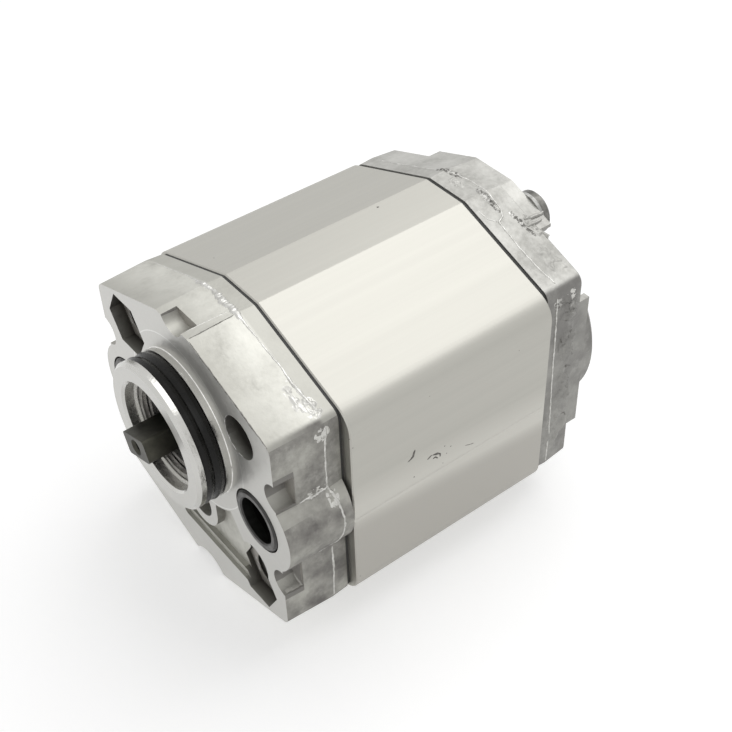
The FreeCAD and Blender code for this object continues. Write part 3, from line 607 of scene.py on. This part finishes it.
front_lumps = bmesh.new()
patches(front_lumps, front_skin, down,
        ((8.0, 3.0, 20.0), (6.5, 0.0, 0.0), (0.0, 4.2, 0.0), 0.12, 0.5, 12.0),
        ((16.0, 1.6, 20.0), (9.0, 0.0, 0.0), (0.0, 7.0, 0.0), 0.14, 0.4, 13.0))
patches(front_lumps, front_skin, leftward,
        ((31.0, 4.6, 1.0), (0.0, 8.0, 0.0), (0.0, 0.0, -2.4), 0.40, 0.9, 22.0),
        ((31.0, 1.5, 13.0), (0.0, 7.0, 0.0), (0.0, 0.0, -9.0), 0.16, 0.45, 25.0),
        ((31.0, 0.6, -19.0), (0.0, 9.0, 0.0), (0.0, 0.0, -12.0), 0.16, 0.4, 27.0))
settle(front_lumps, "front_cover_low_lumps", front_cast)


# Bright tool marks and painted rim highlights of the front cover. The tool left a fine bright edge
# at the turned root of the spigot, and the pocket floors keep a few cutter scratches; the bright
# rings round the mouths of the two bolt holes are painted highlights of their chamfers.
root_bright = (0.86, 0.855, 0.83)
root_grey = (0.62, 0.615, 0.59)
root_radius = 16.05 * mm
root_forward = 0.04 * mm
root_steps = 180
root_size = (0.17, 0.10)
pocket_floor_y = 3.0
scratch_size = (0.09, 0.07)
rim_highlight_radius = 4.66
rim_highlight_steps = 72
rim_highlight_back_y = 0.02
rim_highlight_size = (0.09, 0.05)
root_metal = speckled("turned_marks_and_rim_highlights", 1.0, 0.3, (700.0, 3.0, 0.6, 0.35, 0.7),
                      (root_bright, root_grey), (0.25, 0.42), (2600.0, 2.0, 0.5, 0.01, 0.4))
forward = Vector((0.0, -1.0, 0.0))


def circle(x, y, z, radius, steps):
    """Closed row of places round a circle across the shaft's direction, from millimetres."""
    for index in range(steps + 1):
        angle = 2 * math.pi * index / steps
        yield Vector((x + radius * math.cos(angle), y, z + radius * math.sin(angle))) * mm


root_ring = bmesh.new()
root_knots = []
for index in range(root_steps + 1):
    angle = 2 * math.pi * index / root_steps
    outward = Vector((math.cos(angle), 0.0, math.sin(angle)))
    root_knots.append((outward * root_radius + forward * root_forward,
                       (outward + forward).normalized(), 1.0))
bead(root_ring, root_knots, *root_size, 0.12, 131)
for pocket_x, pocket_z in screw_pockets:
    corner = Vector((pocket_x, pocket_floor_y, pocket_z))
    for index, (x, z, run, fall) in enumerate((
            (-5.9, -1.2, 2.6, -0.5), (-5.6, -2.1, 2.2, -0.9), (-5.0, -2.9, 1.9, -0.9),
            (-5.7, -0.4, 1.6, -0.2), (2.0, 2.6, 2.0, -1.0))):
        start = (corner + Vector((x, 0.0, z))) * mm
        end = (corner + Vector((x + run, 0.0, z + fall))) * mm
        middle = start.lerp(end, 0.5)
        bead(root_ring, [(start, forward, 0.5), (middle, forward, 1.0), (end, forward, 0.4)],
             *scratch_size, 0.3, 133 + index)
# Painted highlight: bright rings round the mouths of the bolt holes, for the light on their
# chamfers
for index, (x, z) in enumerate(bolt_holes):
    rim_highlight_knots = [(place, forward, 1.0)
                 for place in circle(x, rim_highlight_back_y, z, rim_highlight_radius, rim_highlight_steps)]
    bead(root_ring, rim_highlight_knots, *rim_highlight_size, 0.4, 155 + index)
settle(root_ring, "spigot_root_pocket_marks_and_rim_highlights", root_metal)


# Dark lines of the front cover. A thin ragged dark bead runs along the edge of the mounting face
# over the slope, and a like one along the crease at the ridge.
burr_brown = (0.11, 0.105, 0.095)
burr_grey = (0.24, 0.235, 0.22)
burr_metal = speckled("greasy_burr", 0.8, 0.5, (900.0, 3.0, 0.6, 0.35, 0.65),
                      (burr_brown, burr_grey), (0.45, 0.6), (2600.0, 2.0, 0.5, 0.02, 0.5))
front_burrs = bmesh.new()
beads(front_burrs, front_skin,
      (0.12, 0.09, 0.5, 151, "top", (5.8, 0.10, 0.7), (12.0, 0.09, 1.0), (18.0, 0.10, 0.9),
       (24.0, 0.09, 1.1), (30.2, 0.10, 0.7)),
      (0.11, 0.07, 0.5, 153, "top", (5.66, 0.05, 1.0), (5.68, 4.0, 1.1), (5.66, 10.4, 1.0)))
settle(front_burrs, "front_cover_dark_burrs", burr_metal)


# Rubber seals. The spigot's ring, the shaft seal's lip, the two port seals and the two field seals
# are moulded rubber, black and slightly shiny, and pressed into their grooves by hand. The port
# seals' forward faces, where they stand proud, are painted grey as a highlight.
rubber_black = (0.006, 0.006, 0.005)
rubber_dusty = (0.014, 0.013, 0.012)
port_highlight_dim = (0.11, 0.107, 0.103)
port_highlight_grey = (0.16, 0.155, 0.15)
rubber_shine = 0.20
port_rubber_shine = 0.3
moulding_streaks = (260.0, 1500.0, 260.0)

rubber = speckled("black_rubber", 0.0, 0.34, (500.0, 4.0, 0.6, 0.45, 0.75),
                  (rubber_black, rubber_dusty), (0.24, 0.44))
rubber.skin.inputs["Specular IOR Level"].default_value = rubber_shine
rubber.bump(rubber.noise(1.0, 3.0, 0.6, rubber.stretched(moulding_streaks)), 0.10 * mm, 0.7)
rubber.bump(rubber.noise(2600.0, 2.0, 0.5), 0.02 * mm, 0.5)
rubber.paint("spigot_ring_seal", "shaft_seal_lip", "front_field_seal", "rear_field_seal")

port_rubber = Finish("port_seal_rubber", 0.0, 0.42)
port_dust = port_rubber.step(port_rubber.noise(700.0, 4.0, 0.6), 0.4, 0.7)
port_facing = port_rubber.both(port_rubber.part_of(port_rubber.normal, "Y"), -1.0)
# Painted highlight: the forward-facing top of each port seal is grey, the rest black
port_highlight_mask = port_rubber.step(port_facing, 0.55, 0.90)
port_highlight_greys = port_rubber.mix(port_dust, port_highlight_grey, port_highlight_dim)
port_rubber.colour(port_rubber.mix(port_highlight_mask, rubber_black, port_highlight_greys))
port_rubber.skin.inputs["Specular IOR Level"].default_value = port_rubber_shine
port_rubber.roughness(port_rubber.spread(port_dust, 0.36, 0.55))
port_rubber.bump(port_rubber.noise(2600.0, 2.0, 0.5), 0.02 * mm, 0.5)
port_rubber.paint("pressure_port_seal", "suction_port_seal")


# Shaft seal and its retaining ring. A pressed steel case with a garter spring wound from fine wire
# round the lip, and a snap ring of spring steel in the groove in front.
case_steel_colour = (0.36, 0.35, 0.34)
case_steel_worn = (0.52, 0.51, 0.49)
spring_steel_colour = (0.42, 0.41, 0.39)
spring_steel_dark = (0.20, 0.19, 0.18)
fine_grain = (1800.0, 2.0, 0.5, 0.02, 0.5)
pressing_pitch = 0.25 * mm

case_steel = speckled("seal_case_steel", 1.0, 0.3, (400.0, 4.0, 0.6, 0.4, 0.7),
                      (case_steel_colour, case_steel_worn), (0.22, 0.38))
case_steel.bump(case_steel.rings(pressing_pitch), 0.004 * mm, 0.5)
case_steel.paint("shaft_seal_case", "shaft_seal_spring")

garter_mean = 7.78 * mm
garter_middle = 0.7 * mm
garter_coil = 0.36 * mm
garter_wire = 0.10 * mm
garter_turns = 200
steps_per_turn = 10
garter = bmesh.new()
garter_rings = []
for index in range(garter_turns * steps_per_turn):
    turn_angle = 2 * math.pi * index / (garter_turns * steps_per_turn)
    coil_angle = 2 * math.pi * index / steps_per_turn
    outward = Vector((math.cos(turn_angle), 0.0, math.sin(turn_angle)))
    centre = outward * garter_mean + Vector((0.0, garter_middle, 0.0))
    spoke = outward * math.cos(coil_angle) + Vector((0.0, 1.0, 0.0)) * math.sin(coil_angle)
    around = Vector((-math.sin(turn_angle), 0.0, math.cos(turn_angle)))
    wire_ring = []
    for corner in range(4):
        corner_angle = math.pi / 2 * corner
        wire_ring.append(garter.verts.new(
            centre + spoke * (garter_coil + garter_wire * math.cos(corner_angle))
            + around * garter_wire * math.sin(corner_angle)))
    garter_rings.append(wire_ring)
for first, second in zip(garter_rings, garter_rings[1:] + garter_rings[:1]):
    for corner in range(4):
        following = (corner + 1) % 4
        garter.faces.new((first[corner], first[following], second[following], second[corner]))
garter_piece = settle(garter, "shaft_seal_garter_coil", case_steel)
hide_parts("shaft_seal_spring")

snap_steel = speckled("snap_ring_steel", 1.0, 0.3, (600.0, 4.0, 0.6, 0.4, 0.7),
                      (spring_steel_colour, spring_steel_dark), (0.25, 0.42), fine_grain)
snap_steel.paint("retaining_ring")


# Drive and driven gear shafts. Case-hardened steel, each turned, hobbed and ground in one piece;
# the tang keeps the dark olive skin of the hardening.
tang_dark = (0.040, 0.039, 0.033)
tang_olive = (0.085, 0.083, 0.068)
ground_steel = (0.50, 0.49, 0.47)
grinding_start = (-1.6 * mm, -1.2 * mm)
grinding_pitch = 0.3 * mm

shaft_steel = Finish("hardened_shaft_steel", 1.0, 0.36)
hardening = shaft_steel.step(shaft_steel.noise(260.0, 5.0, 0.6), 0.35, 0.7)
hard_skin = shaft_steel.mix(hardening, tang_dark, tang_olive)
ground_zone = shaft_steel.step(shaft_steel.part_of(shaft_steel.place, "Y"), *grinding_start)
shaft_steel.colour(shaft_steel.mix(ground_zone, hard_skin, ground_steel))
shaft_steel.roughness(shaft_steel.spread(ground_zone, 0.40, 0.22))
shaft_steel.bump(shaft_steel.noise(1200.0, 3.0, 0.5), 0.03 * mm, 0.5)
shaft_steel.bump(shaft_steel.rings(grinding_pitch), 0.003 * mm, 0.5)
shaft_steel.paint("drive_gear_shaft", "driven_gear_shaft")


# Pump body. A length of extruded aluminium, satin anodised, sawn off and bored; the die leaves
# faint streaks along it. Below a slanting line on its right side a painted highlight makes the
# skin paler, and further down painted shade makes it greyer.
body_pale = (0.475, 0.467, 0.429)
body_streak = (0.452, 0.444, 0.409)
body_band_highlight = (0.55, 0.54, 0.50)
body_low_shade = (0.43, 0.417, 0.385)
body_flank_x = 32.0 * mm
crease_slant = 0.08
highlight_band_fade = (0.0 * mm, -7.0 * mm)
low_shade_fade = (-9.8 * mm, -14.0 * mm)

body_metal = Finish("extruded_aluminium", 1.0, 0.36)
streaks = body_metal.noise(1.0, 3.0, 0.6, body_metal.stretched((900.0, 6.0, 900.0)))
soft_streaks = body_metal.noise(1.0, 2.0, 0.5, body_metal.stretched((160.0, 2.0, 160.0)))
streak_factor = body_metal.both(body_metal.step(streaks, 0.35, 0.7), 0.6)
streak_factor = body_metal.maths("ADD", streak_factor, body_metal.both(soft_streaks, 0.4))
# Painted highlight in a band below the slanting line on the right side, painted shade further down
body_flank = body_metal.over(body_metal.part_of(body_metal.place, "X"), body_flank_x)
crease_drop = body_metal.both(body_metal.part_of(body_metal.place, "Y"), crease_slant)
above_crease = body_metal.maths("ADD", body_metal.part_of(body_metal.place, "Z"), crease_drop)
body_low_shade_mask = body_metal.both(body_flank, body_metal.step(above_crease, *low_shade_fade))
body_highlight_band = body_metal.both(body_metal.step(above_crease, *highlight_band_fade),
                            body_metal.maths("SUBTRACT", body_flank, body_low_shade_mask))
body_colour = body_metal.mix(streak_factor, body_pale, body_streak)
body_colour = body_metal.mix(body_highlight_band, body_colour, body_band_highlight)
body_metal.colour(body_metal.mix(body_low_shade_mask, body_colour, body_low_shade))
body_metal.roughness(body_metal.spread(soft_streaks, 0.44, 0.50))
body_metal.bump(streaks, 0.01 * mm, 0.2)
body_metal.bump(body_metal.noise(2200.0, 2.0, 0.5), 0.01 * mm, 0.5)
body_metal.paint("pump_body")


# Gaskets. Thin black sheets clamped between the covers and the body; only their edges show.
gasket_ink = (0.020, 0.020, 0.019)
gasket_worn = (0.045, 0.045, 0.042)
gasket_sheet = speckled("gasket_sheet", 0.0, 0.6, (900.0, 4.0, 0.6, 0.4, 0.7),
                        (gasket_ink, gasket_worn), (0.5, 0.75), (2400.0, 2.0, 0.5, 0.03, 0.5))
gasket_sheet.paint("front_gasket", "rear_gasket")


# Bearing blocks with their bushes. Machined aluminium blocks that float in the chambers on wrapped
# bronze bushes.
block_pale = (0.66, 0.66, 0.64)
block_grey = (0.52, 0.52, 0.50)
bronze_light = (0.50, 0.36, 0.20)
bronze_dark = (0.30, 0.20, 0.11)
block_metal = speckled("bearing_block_aluminium", 1.0, 0.3, (350.0, 4.0, 0.6, 0.4, 0.7),
                       (block_pale, block_grey), (0.26, 0.4), (1500.0, 2.0, 0.5, 0.02, 0.5))
block_metal.paint("front_bearing_block", "rear_bearing_block")
bronze = speckled("bush_bronze", 1.0, 0.32, (600.0, 4.0, 0.6, 0.4, 0.7),
                  (bronze_light, bronze_dark), (0.26, 0.42), fine_grain)
bronze.paint("front_drive_bush", "front_driven_bush", "rear_drive_bush", "rear_driven_bush")


# Support strips of the field seals. Cut from pale nylon-like strip, they keep the rubber from
# being squeezed out under pressure.
strip_pale = (0.74, 0.72, 0.64)
strip_oily = (0.58, 0.54, 0.44)
strip = speckled("support_strip", 0.0, 0.45, (500.0, 4.0, 0.6, 0.4, 0.7),
                 (strip_pale, strip_oily), (0.35, 0.55), fine_grain)
strip.paint("front_upper_seal_support", "front_lower_seal_support", "rear_upper_seal_support",
            "rear_lower_seal_support")


# Dowels. Ground steel pins that line the covers up with the body.
dowel_bright = (0.56, 0.56, 0.55)
dowel_grey = (0.42, 0.42, 0.41)
dowel_metal = speckled("dowel_steel", 1.0, 0.22, (700.0, 4.0, 0.6, 0.4, 0.7),
                       (dowel_bright, dowel_grey), (0.18, 0.3), (1800.0, 2.0, 0.5, 0.01, 0.5))
dowel_metal.paint("front_upper_dowel", "front_lower_dowel", "rear_upper_dowel", "rear_lower_dowel")


# Assembly screws with their washers, and the drain plug. Oiled dark steel; the screws have rolled
# threads and are put in from the rear.
screw_dark = (0.11, 0.108, 0.10)
screw_worn = (0.26, 0.255, 0.24)
thread_pitch = 1.25 * mm
thread_depth = 0.55 * mm
thread_end = 17.0 * mm
thread_sides = 72
thread_row = 0.125 * mm
thread_lead = 2.0 * mm
thread_runout = 1.4 * mm
screw_tip = 3.4 * mm
screw_shank = 4.0 * mm
screw_under_head = 72.3 * mm
screw_top = 77.3 * mm
screw_head = 6.5 * mm
head_break = 0.3 * mm
socket_half = 2.5 * mm
socket_floor = 74.4 * mm
socket_point = 0.6 * mm
screw_metal = speckled("oiled_screw_steel", 1.0, 0.34, (500.0, 5.0, 0.6, 0.4, 0.7),
                       (screw_dark, screw_worn), (0.28, 0.46), (1500.0, 3.0, 0.5, 0.02, 0.5))
screw_metal.paint("upper_assembly_screw", "lower_assembly_screw", "upper_screw_washer",
                  "lower_screw_washer", "drain_plug")


def threaded_screw(name, x, z):
    """Low-head socket screw: rolled thread, plain shank, broken edges, hexagonal socket."""
    mesh = bmesh.new()
    rows = []
    count = int((thread_end - screw_tip) / thread_row)
    for index in range(count + 1):
        y = screw_tip + (thread_end - screw_tip) * index / count
        lead = min(1.0, 0.55 + (y - screw_tip) / thread_lead)
        runout = min(1.0, (thread_end - y) / thread_runout)
        crest = min(screw_shank, screw_shank * (0.78 + 0.22 * lead))
        radii = []
        for side in range(thread_sides):
            phase = (y / thread_pitch + side / thread_sides) % 1.0
            groove = 1.0 - abs(2.0 * phase - 1.0)
            radii.append(crest - thread_depth * groove * runout)
        rows.append((y, radii))
    for y, radius in ((screw_under_head - head_break, screw_shank),
                      (screw_under_head, screw_shank + head_break),
                      (screw_under_head, screw_head - head_break),
                      (screw_under_head + head_break, screw_head),
                      (screw_top - 0.9 * mm, screw_head),
                      (screw_top - 0.5 * mm, screw_head - 0.15 * mm),
                      (screw_top, screw_head - 0.7 * mm)):
        rows.append((y, [radius] * thread_sides))
    hexagonal = []
    for side in range(thread_sides):
        angle = (2 * math.pi * side / thread_sides) % (math.pi / 3) - math.pi / 6
        hexagonal.append(socket_half / math.cos(angle))
    rows.append((screw_top, [radius + 0.55 * mm for radius in hexagonal]))
    rows.append((screw_top - 0.35 * mm, hexagonal))
    rows.append((socket_floor, hexagonal))
    rings = []
    for y, radii in rows:
        ring = []
        for side, radius in enumerate(radii):
            angle = 2 * math.pi * side / thread_sides
            ring.append(mesh.verts.new((x * mm + radius * math.cos(angle), y,
                                        z * mm + radius * math.sin(angle))))
        rings.append(ring)
    for first, second in zip(rings[:-1], rings[1:]):
        for side in range(thread_sides):
            following = (side + 1) % thread_sides
            mesh.faces.new((first[side], first[following], second[following], second[side]))
    tip = mesh.verts.new((x * mm, screw_tip, z * mm))
    floor_point = mesh.verts.new((x * mm, socket_floor - socket_point, z * mm))
    for side in range(thread_sides):
        following = (side + 1) % thread_sides
        mesh.faces.new((tip, rings[0][following], rings[0][side]))
        mesh.faces.new((floor_point, rings[-1][side], rings[-1][following]))
    piece = settle(mesh, name + "_threaded", screw_metal)
    piece.data.set_sharp_from_angle(angle=math.radians(28))
    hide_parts(name)


threaded_screw("upper_assembly_screw", *screw_pockets[0])
threaded_screw("lower_assembly_screw", *screw_pockets[1])


# Washer of the drain plug. Soft aluminium, turned, and crushed a little by the plug.
washer_pale = (0.40, 0.40, 0.385)
washer_dull = (0.26, 0.258, 0.245)
washer_metal = speckled("soft_aluminium_washer", 1.0, 0.5, (700.0, 4.0, 0.6, 0.4, 0.7),
                        (washer_pale, washer_dull), (0.42, 0.56), fine_grain)
washer_metal.paint("drain_plug_washer")


# Rear cover. A die casting as the front cover, left raw all over, so it is duller and rougher.
rear_skin_light = (0.53, 0.526, 0.50)
rear_skin_dark = (0.37, 0.366, 0.345)
rear_side_shade = (0.21, 0.205, 0.195)
rear_cast = Finish("cast_aluminium_rear", 1.0, 0.54)
rear_colour, rear_clouds = cast_skin(rear_cast, rear_skin_light, rear_skin_dark, rear_side_shade)
rear_cast.colour(rear_colour)
rear_cast.roughness(rear_cast.spread(rear_clouds, 0.5, 0.62))
rear_cast.paint("rear_cover")


# Parting flash of the rear cover. The die halves met close behind the body and left a ragged bead
# of bare aluminium there, over the ridge and slopes and down both sides.
rear_skin = skin_of("rear_cover")
rear_flash = bmesh.new()
beads(rear_flash, rear_skin,
      (0.20, 0.17, 0.5, 51, "top", (-27.0, 69.5, 0.7), (-19.3, 69.5, 0.9), (-9.5, 69.8, 0.9),
       (-4.5, 70.9, 1.0), (0.6, 72.2, 0.9), (6.0, 72.3, 0.9), (10.5, 71.9, 1.0),
       (12.0, 71.0, 1.1), (12.8, 69.4, 1.1), (19.5, 69.0, 0.9), (25.4, 69.2, 1.0),
       (29.6, 69.9, 0.9)),
      (0.16, 0.14, 0.4, 55, "top", (8.4, 67.3, 0.6), (11.0, 67.8, 1.0), (12.8, 69.4, 1.0)),
      (0.20, 0.17, 0.5, 59, "right", (69.0, 14.4, 1.1), (69.3, 6.1, 1.0), (69.6, -7.9, 0.9),
       (70.2, -23.2, 0.9), (70.0, -33.0, 0.8)),
      (0.20, 0.15, 0.5, 63, "left", (69.5, 14.4, 0.9), (69.7, -8.0, 1.0), (69.6, -33.0, 0.9)))
settle(rear_flash, "rear_cover_parting_flash", flash_metal)


# Pits and rough skin of the rear cover. The skin is pitted where the gate was broken off, and two
# low ribs run from there to the assembly screw; the slopes and the right side are lumpy, and the
# ejector pins left rings on the back.
pit_light = (0.54, 0.535, 0.51)
pit_dark = (0.17, 0.165, 0.155)
pin_ring_radius = 2.6
pin_ring_steps = 48
behind_cover_y = 84.0
pit_metal = speckled("pitted_cast_aluminium", 1.0, 0.42, (1100.0, 4.0, 0.65, 0.43, 0.60),
                     (pit_dark, pit_light), (0.58, 0.34), (1300.0, 3.0, 0.6, 0.12, 0.8))
rear_pits = bmesh.new()
patches(rear_pits, rear_skin, down,
        ((-8.6, 69.4, 22.0), (8.0, 1.2, 0.0), (0.0, 1.9, 0.0), 0.45, 1.6, 71.0),
        ((2.6, 70.2, 22.0), (9.6, 0.2, 0.0), (0.0, 1.9, 0.0), 0.48, 1.7, 73.0, 56),
        ((11.2, 72.4, 20.0), (8.6, 1.0, 0.0), (0.0, 1.5, 0.0), 0.50, 1.5, 76.0, 50))
patches(rear_pits, rear_skin, leftward,
        ((31.0, 67.7, 14.4), (0.0, 3.6, 0.0), (0.0, 0.0, -3.0), 0.35, 1.1, 78.0))
settle(rear_pits, "rear_cover_pitted_skin", pit_metal)

rear_rough = bmesh.new()
patches(rear_rough, rear_skin, down,
        ((-3.0, 67.6, 22.0), (5.0, 0.4, 0.0), (0.0, 2.6, 0.0), 0.42, 1.0, 72.0),
        ((12.0, 73.8, 20.0), (8.0, 0.6, 0.0), (0.0, 2.6, 0.0), 0.40, 0.9, 77.0),
        ((20.0, 70.6, 18.0), (8.8, 0.0, 0.0), (0.0, 5.2, 0.0), 0.30, 0.7, 79.0))
patches(rear_rough, rear_skin, leftward,
        ((31.0, 70.0, 14.4), (0.0, 6.2, 0.0), (0.0, 0.0, -9.0), 1.3, 0.55, 82.0),
        ((31.0, 70.2, 6.0), (0.0, 6.2, 0.0), (0.0, 0.0, -12.0), 1.2, 0.5, 84.0),
        ((31.0, 70.4, -5.0), (0.0, 6.0, 0.0), (0.0, 0.0, -14.0), 1.0, 0.5, 86.0),
        ((31.0, 67.2, -16.0), (0.0, 9.0, 0.0), (0.0, 0.0, -14.0), 0.7, 0.5, 87.0))
beads(rear_rough, rear_skin,
      (0.50, 0.50, 0.2, 88, "top", (14.4, 74.6, 0.8), (14.7, 77.4, 1.0), (14.9, 79.8, 0.8)),
      (0.42, 0.44, 0.2, 89, "top", (16.1, 74.0, 0.8), (16.0, 76.4, 1.0), (15.9, 78.6, 0.8)),
      (0.80, 0.30, 0.2, 90, "top", (-9.4, 79.2, 0.7), (-8.6, 80.2, 1.1), (-7.8, 80.8, 0.7)))
for index, (x, z) in enumerate(((-11.5, 4.0), (9.5, 3.0), (-10.5, -21.5), (11.0, -22.5),
                                (0.0, -9.0))):
    pin_knots = [(*landed(rear_skin, place, forward), 1.0)
                 for place in circle(x, behind_cover_y, z, pin_ring_radius, pin_ring_steps)]
    bead(rear_rough, pin_knots, 0.16, 0.09, 0.35, 140 + index)
rough_side_skin = bvhtree.BVHTree.FromBMesh(rear_rough)
settle(rear_rough, "rear_cover_rough_skin", rear_cast)


# Dark scores and a bright lump on the right side of the rear cover. Knocks that have filled with
# grease and lie on whichever is outermost, the cover or its rough skin, and one bare bright spot.
class LayeredSkin:
    """Surfaces that are searched as one, where the outermost counts."""

    def __init__(self, *layers):
        self.layers = layers

    def ray_cast(self, start, direction, reach):
        hits = [layer.ray_cast(start, direction, reach) for layer in self.layers]
        hits = [hit for hit in hits if hit[0] is not None]
        return min(hits, key=lambda hit: hit[3]) if hits else (None, None, None, None)


rear_scores = bmesh.new()
beads(rear_scores, LayeredSkin(rear_skin, rough_side_skin),
      (0.20, 0.16, 0.6, 161, "right", (71.7, -6.5, 0.6), (74.0, -6.5, 1.1), (75.6, -7.4, 0.6)),
      (0.20, 0.16, 0.6, 163, "right", (71.2, -11.5, 0.6), (73.5, -11.4, 1.1), (75.9, -11.9, 0.6)),
      (0.20, 0.16, 0.6, 165, "right", (73.5, -20.5, 0.6), (74.8, -20.8, 1.1), (75.9, -23.0, 0.6)),
      (0.20, 0.16, 0.6, 167, "right", (70.1, 8.4, 0.6), (71.6, 8.3, 1.1), (72.9, 9.3, 0.6)),
      (0.18, 0.15, 0.6, 169, "right", (72.6, -3.2, 0.6), (74.3, -3.2, 1.0), (75.8, -4.4, 0.6)),
      (0.18, 0.15, 0.6, 171, "right", (70.6, 3.6, 0.6), (71.4, 1.4, 1.0), (72.3, -0.5, 0.6)))
settle(rear_scores, "rear_cover_dark_scores", burr_metal)

rear_blot = bmesh.new()
patches(rear_blot, rear_skin, leftward,
        ((31.0, 71.4, 15.2), (0.0, 3.6, 0.0), (0.0, 0.0, -4.4), 0.30, 1.0, 191.0))
settle(rear_blot, "rear_cover_bright_lump", lump_metal)


# Scratches and specks of the pump body. Handling marks in the anodised skin and bits of dirt on
# it, grey brown and hardly thicker than a hair.
mark_grey = (0.15, 0.142, 0.13)
mark_brown = (0.075, 0.068, 0.06)
speck_sides = 9
speck_height = 0.03 * mm
speck_sink = 0.002 * mm
mark_skin = speckled("scratched_anodising", 0.6, 0.5, (900.0, 3.0, 0.6, 0.4, 0.6),
                     (mark_grey, mark_brown), (0.4, 0.6), (3000.0, 2.0, 0.5, 0.01, 0.5))
body_skin = skin_of("pump_body")


def speck(mesh, skin, place, inward, radius, seed):
    """One flat crumb with a ragged outline, in millimetres."""
    centre, outward = landed(skin, Vector(place) * mm, inward)
    first = outward.orthogonal().normalized()
    second = outward.cross(first)
    top = mesh.verts.new(centre + outward * speck_height)
    rim = []
    for index in range(speck_sides):
        angle = 2 * math.pi * index / speck_sides
        reach = radius * mm * (1.0 + 0.5 * lobe(index * 0.9, seed))
        spoke = first * math.cos(angle) + second * math.sin(angle)
        rim.append(mesh.verts.new(centre + spoke * reach - outward * speck_sink))
    for index in range(speck_sides):
        mesh.faces.new((top, rim[index], rim[(index + 1) % speck_sides]))


body_marks = bmesh.new()
beads(body_marks, body_skin,
      (0.27, 0.060, 0.5, 91, "right", (28.0, -3.9, 0.4), (29.1, -3.8, 0.7), (30.1, -3.2, 1.2),
       (30.8, -1.4, 1.5)),
      (0.27, 0.055, 0.6, 93, "right", (33.2, -6.6, 0.5), (34.7, -6.0, 1.0), (35.9, -6.2, 1.2),
       (37.0, -7.0, 1.2), (37.1, -8.2, 1.0)),
      (0.26, 0.055, 0.6, 94, "right", (34.8, -7.2, 0.7), (35.8, -7.0, 1.1), (36.5, -8.1, 0.9)),
      (0.13, 0.050, 0.4, 95, "right", (43.0, -8.7, 0.6), (44.6, -9.3, 1.0), (46.5, -9.8, 0.6)),
      (0.09, 0.040, 0.4, 96, "right", (26.7, 2.0, 0.6), (27.7, 2.7, 0.9)))
for index, (y, z, radius) in enumerate((
        (38.2, -5.5, 0.15), (39.8, -6.6, 0.16), (38.7, -7.9, 0.15), (37.8, -10.1, 0.11),
        (30.4, -9.1, 0.17), (16.0, 8.5, 0.15), (16.3, -28.8, 0.13), (15.5, 10.9, 0.12),
        (34.2, 10.5, 0.10), (57.0, 9.0, 0.10))):
    speck(body_marks, body_skin, (33.0, y, z), leftward, radius, 100 + index)
speck(body_marks, body_skin, (-4.2, 51.6, 25.0), down, 0.30, 121)
speck(body_marks, body_skin, (-15.5, 19.0, 21.0), down, 0.16, 122)
settle(body_marks, "pump_body_scratches_and_specks", mark_skin)
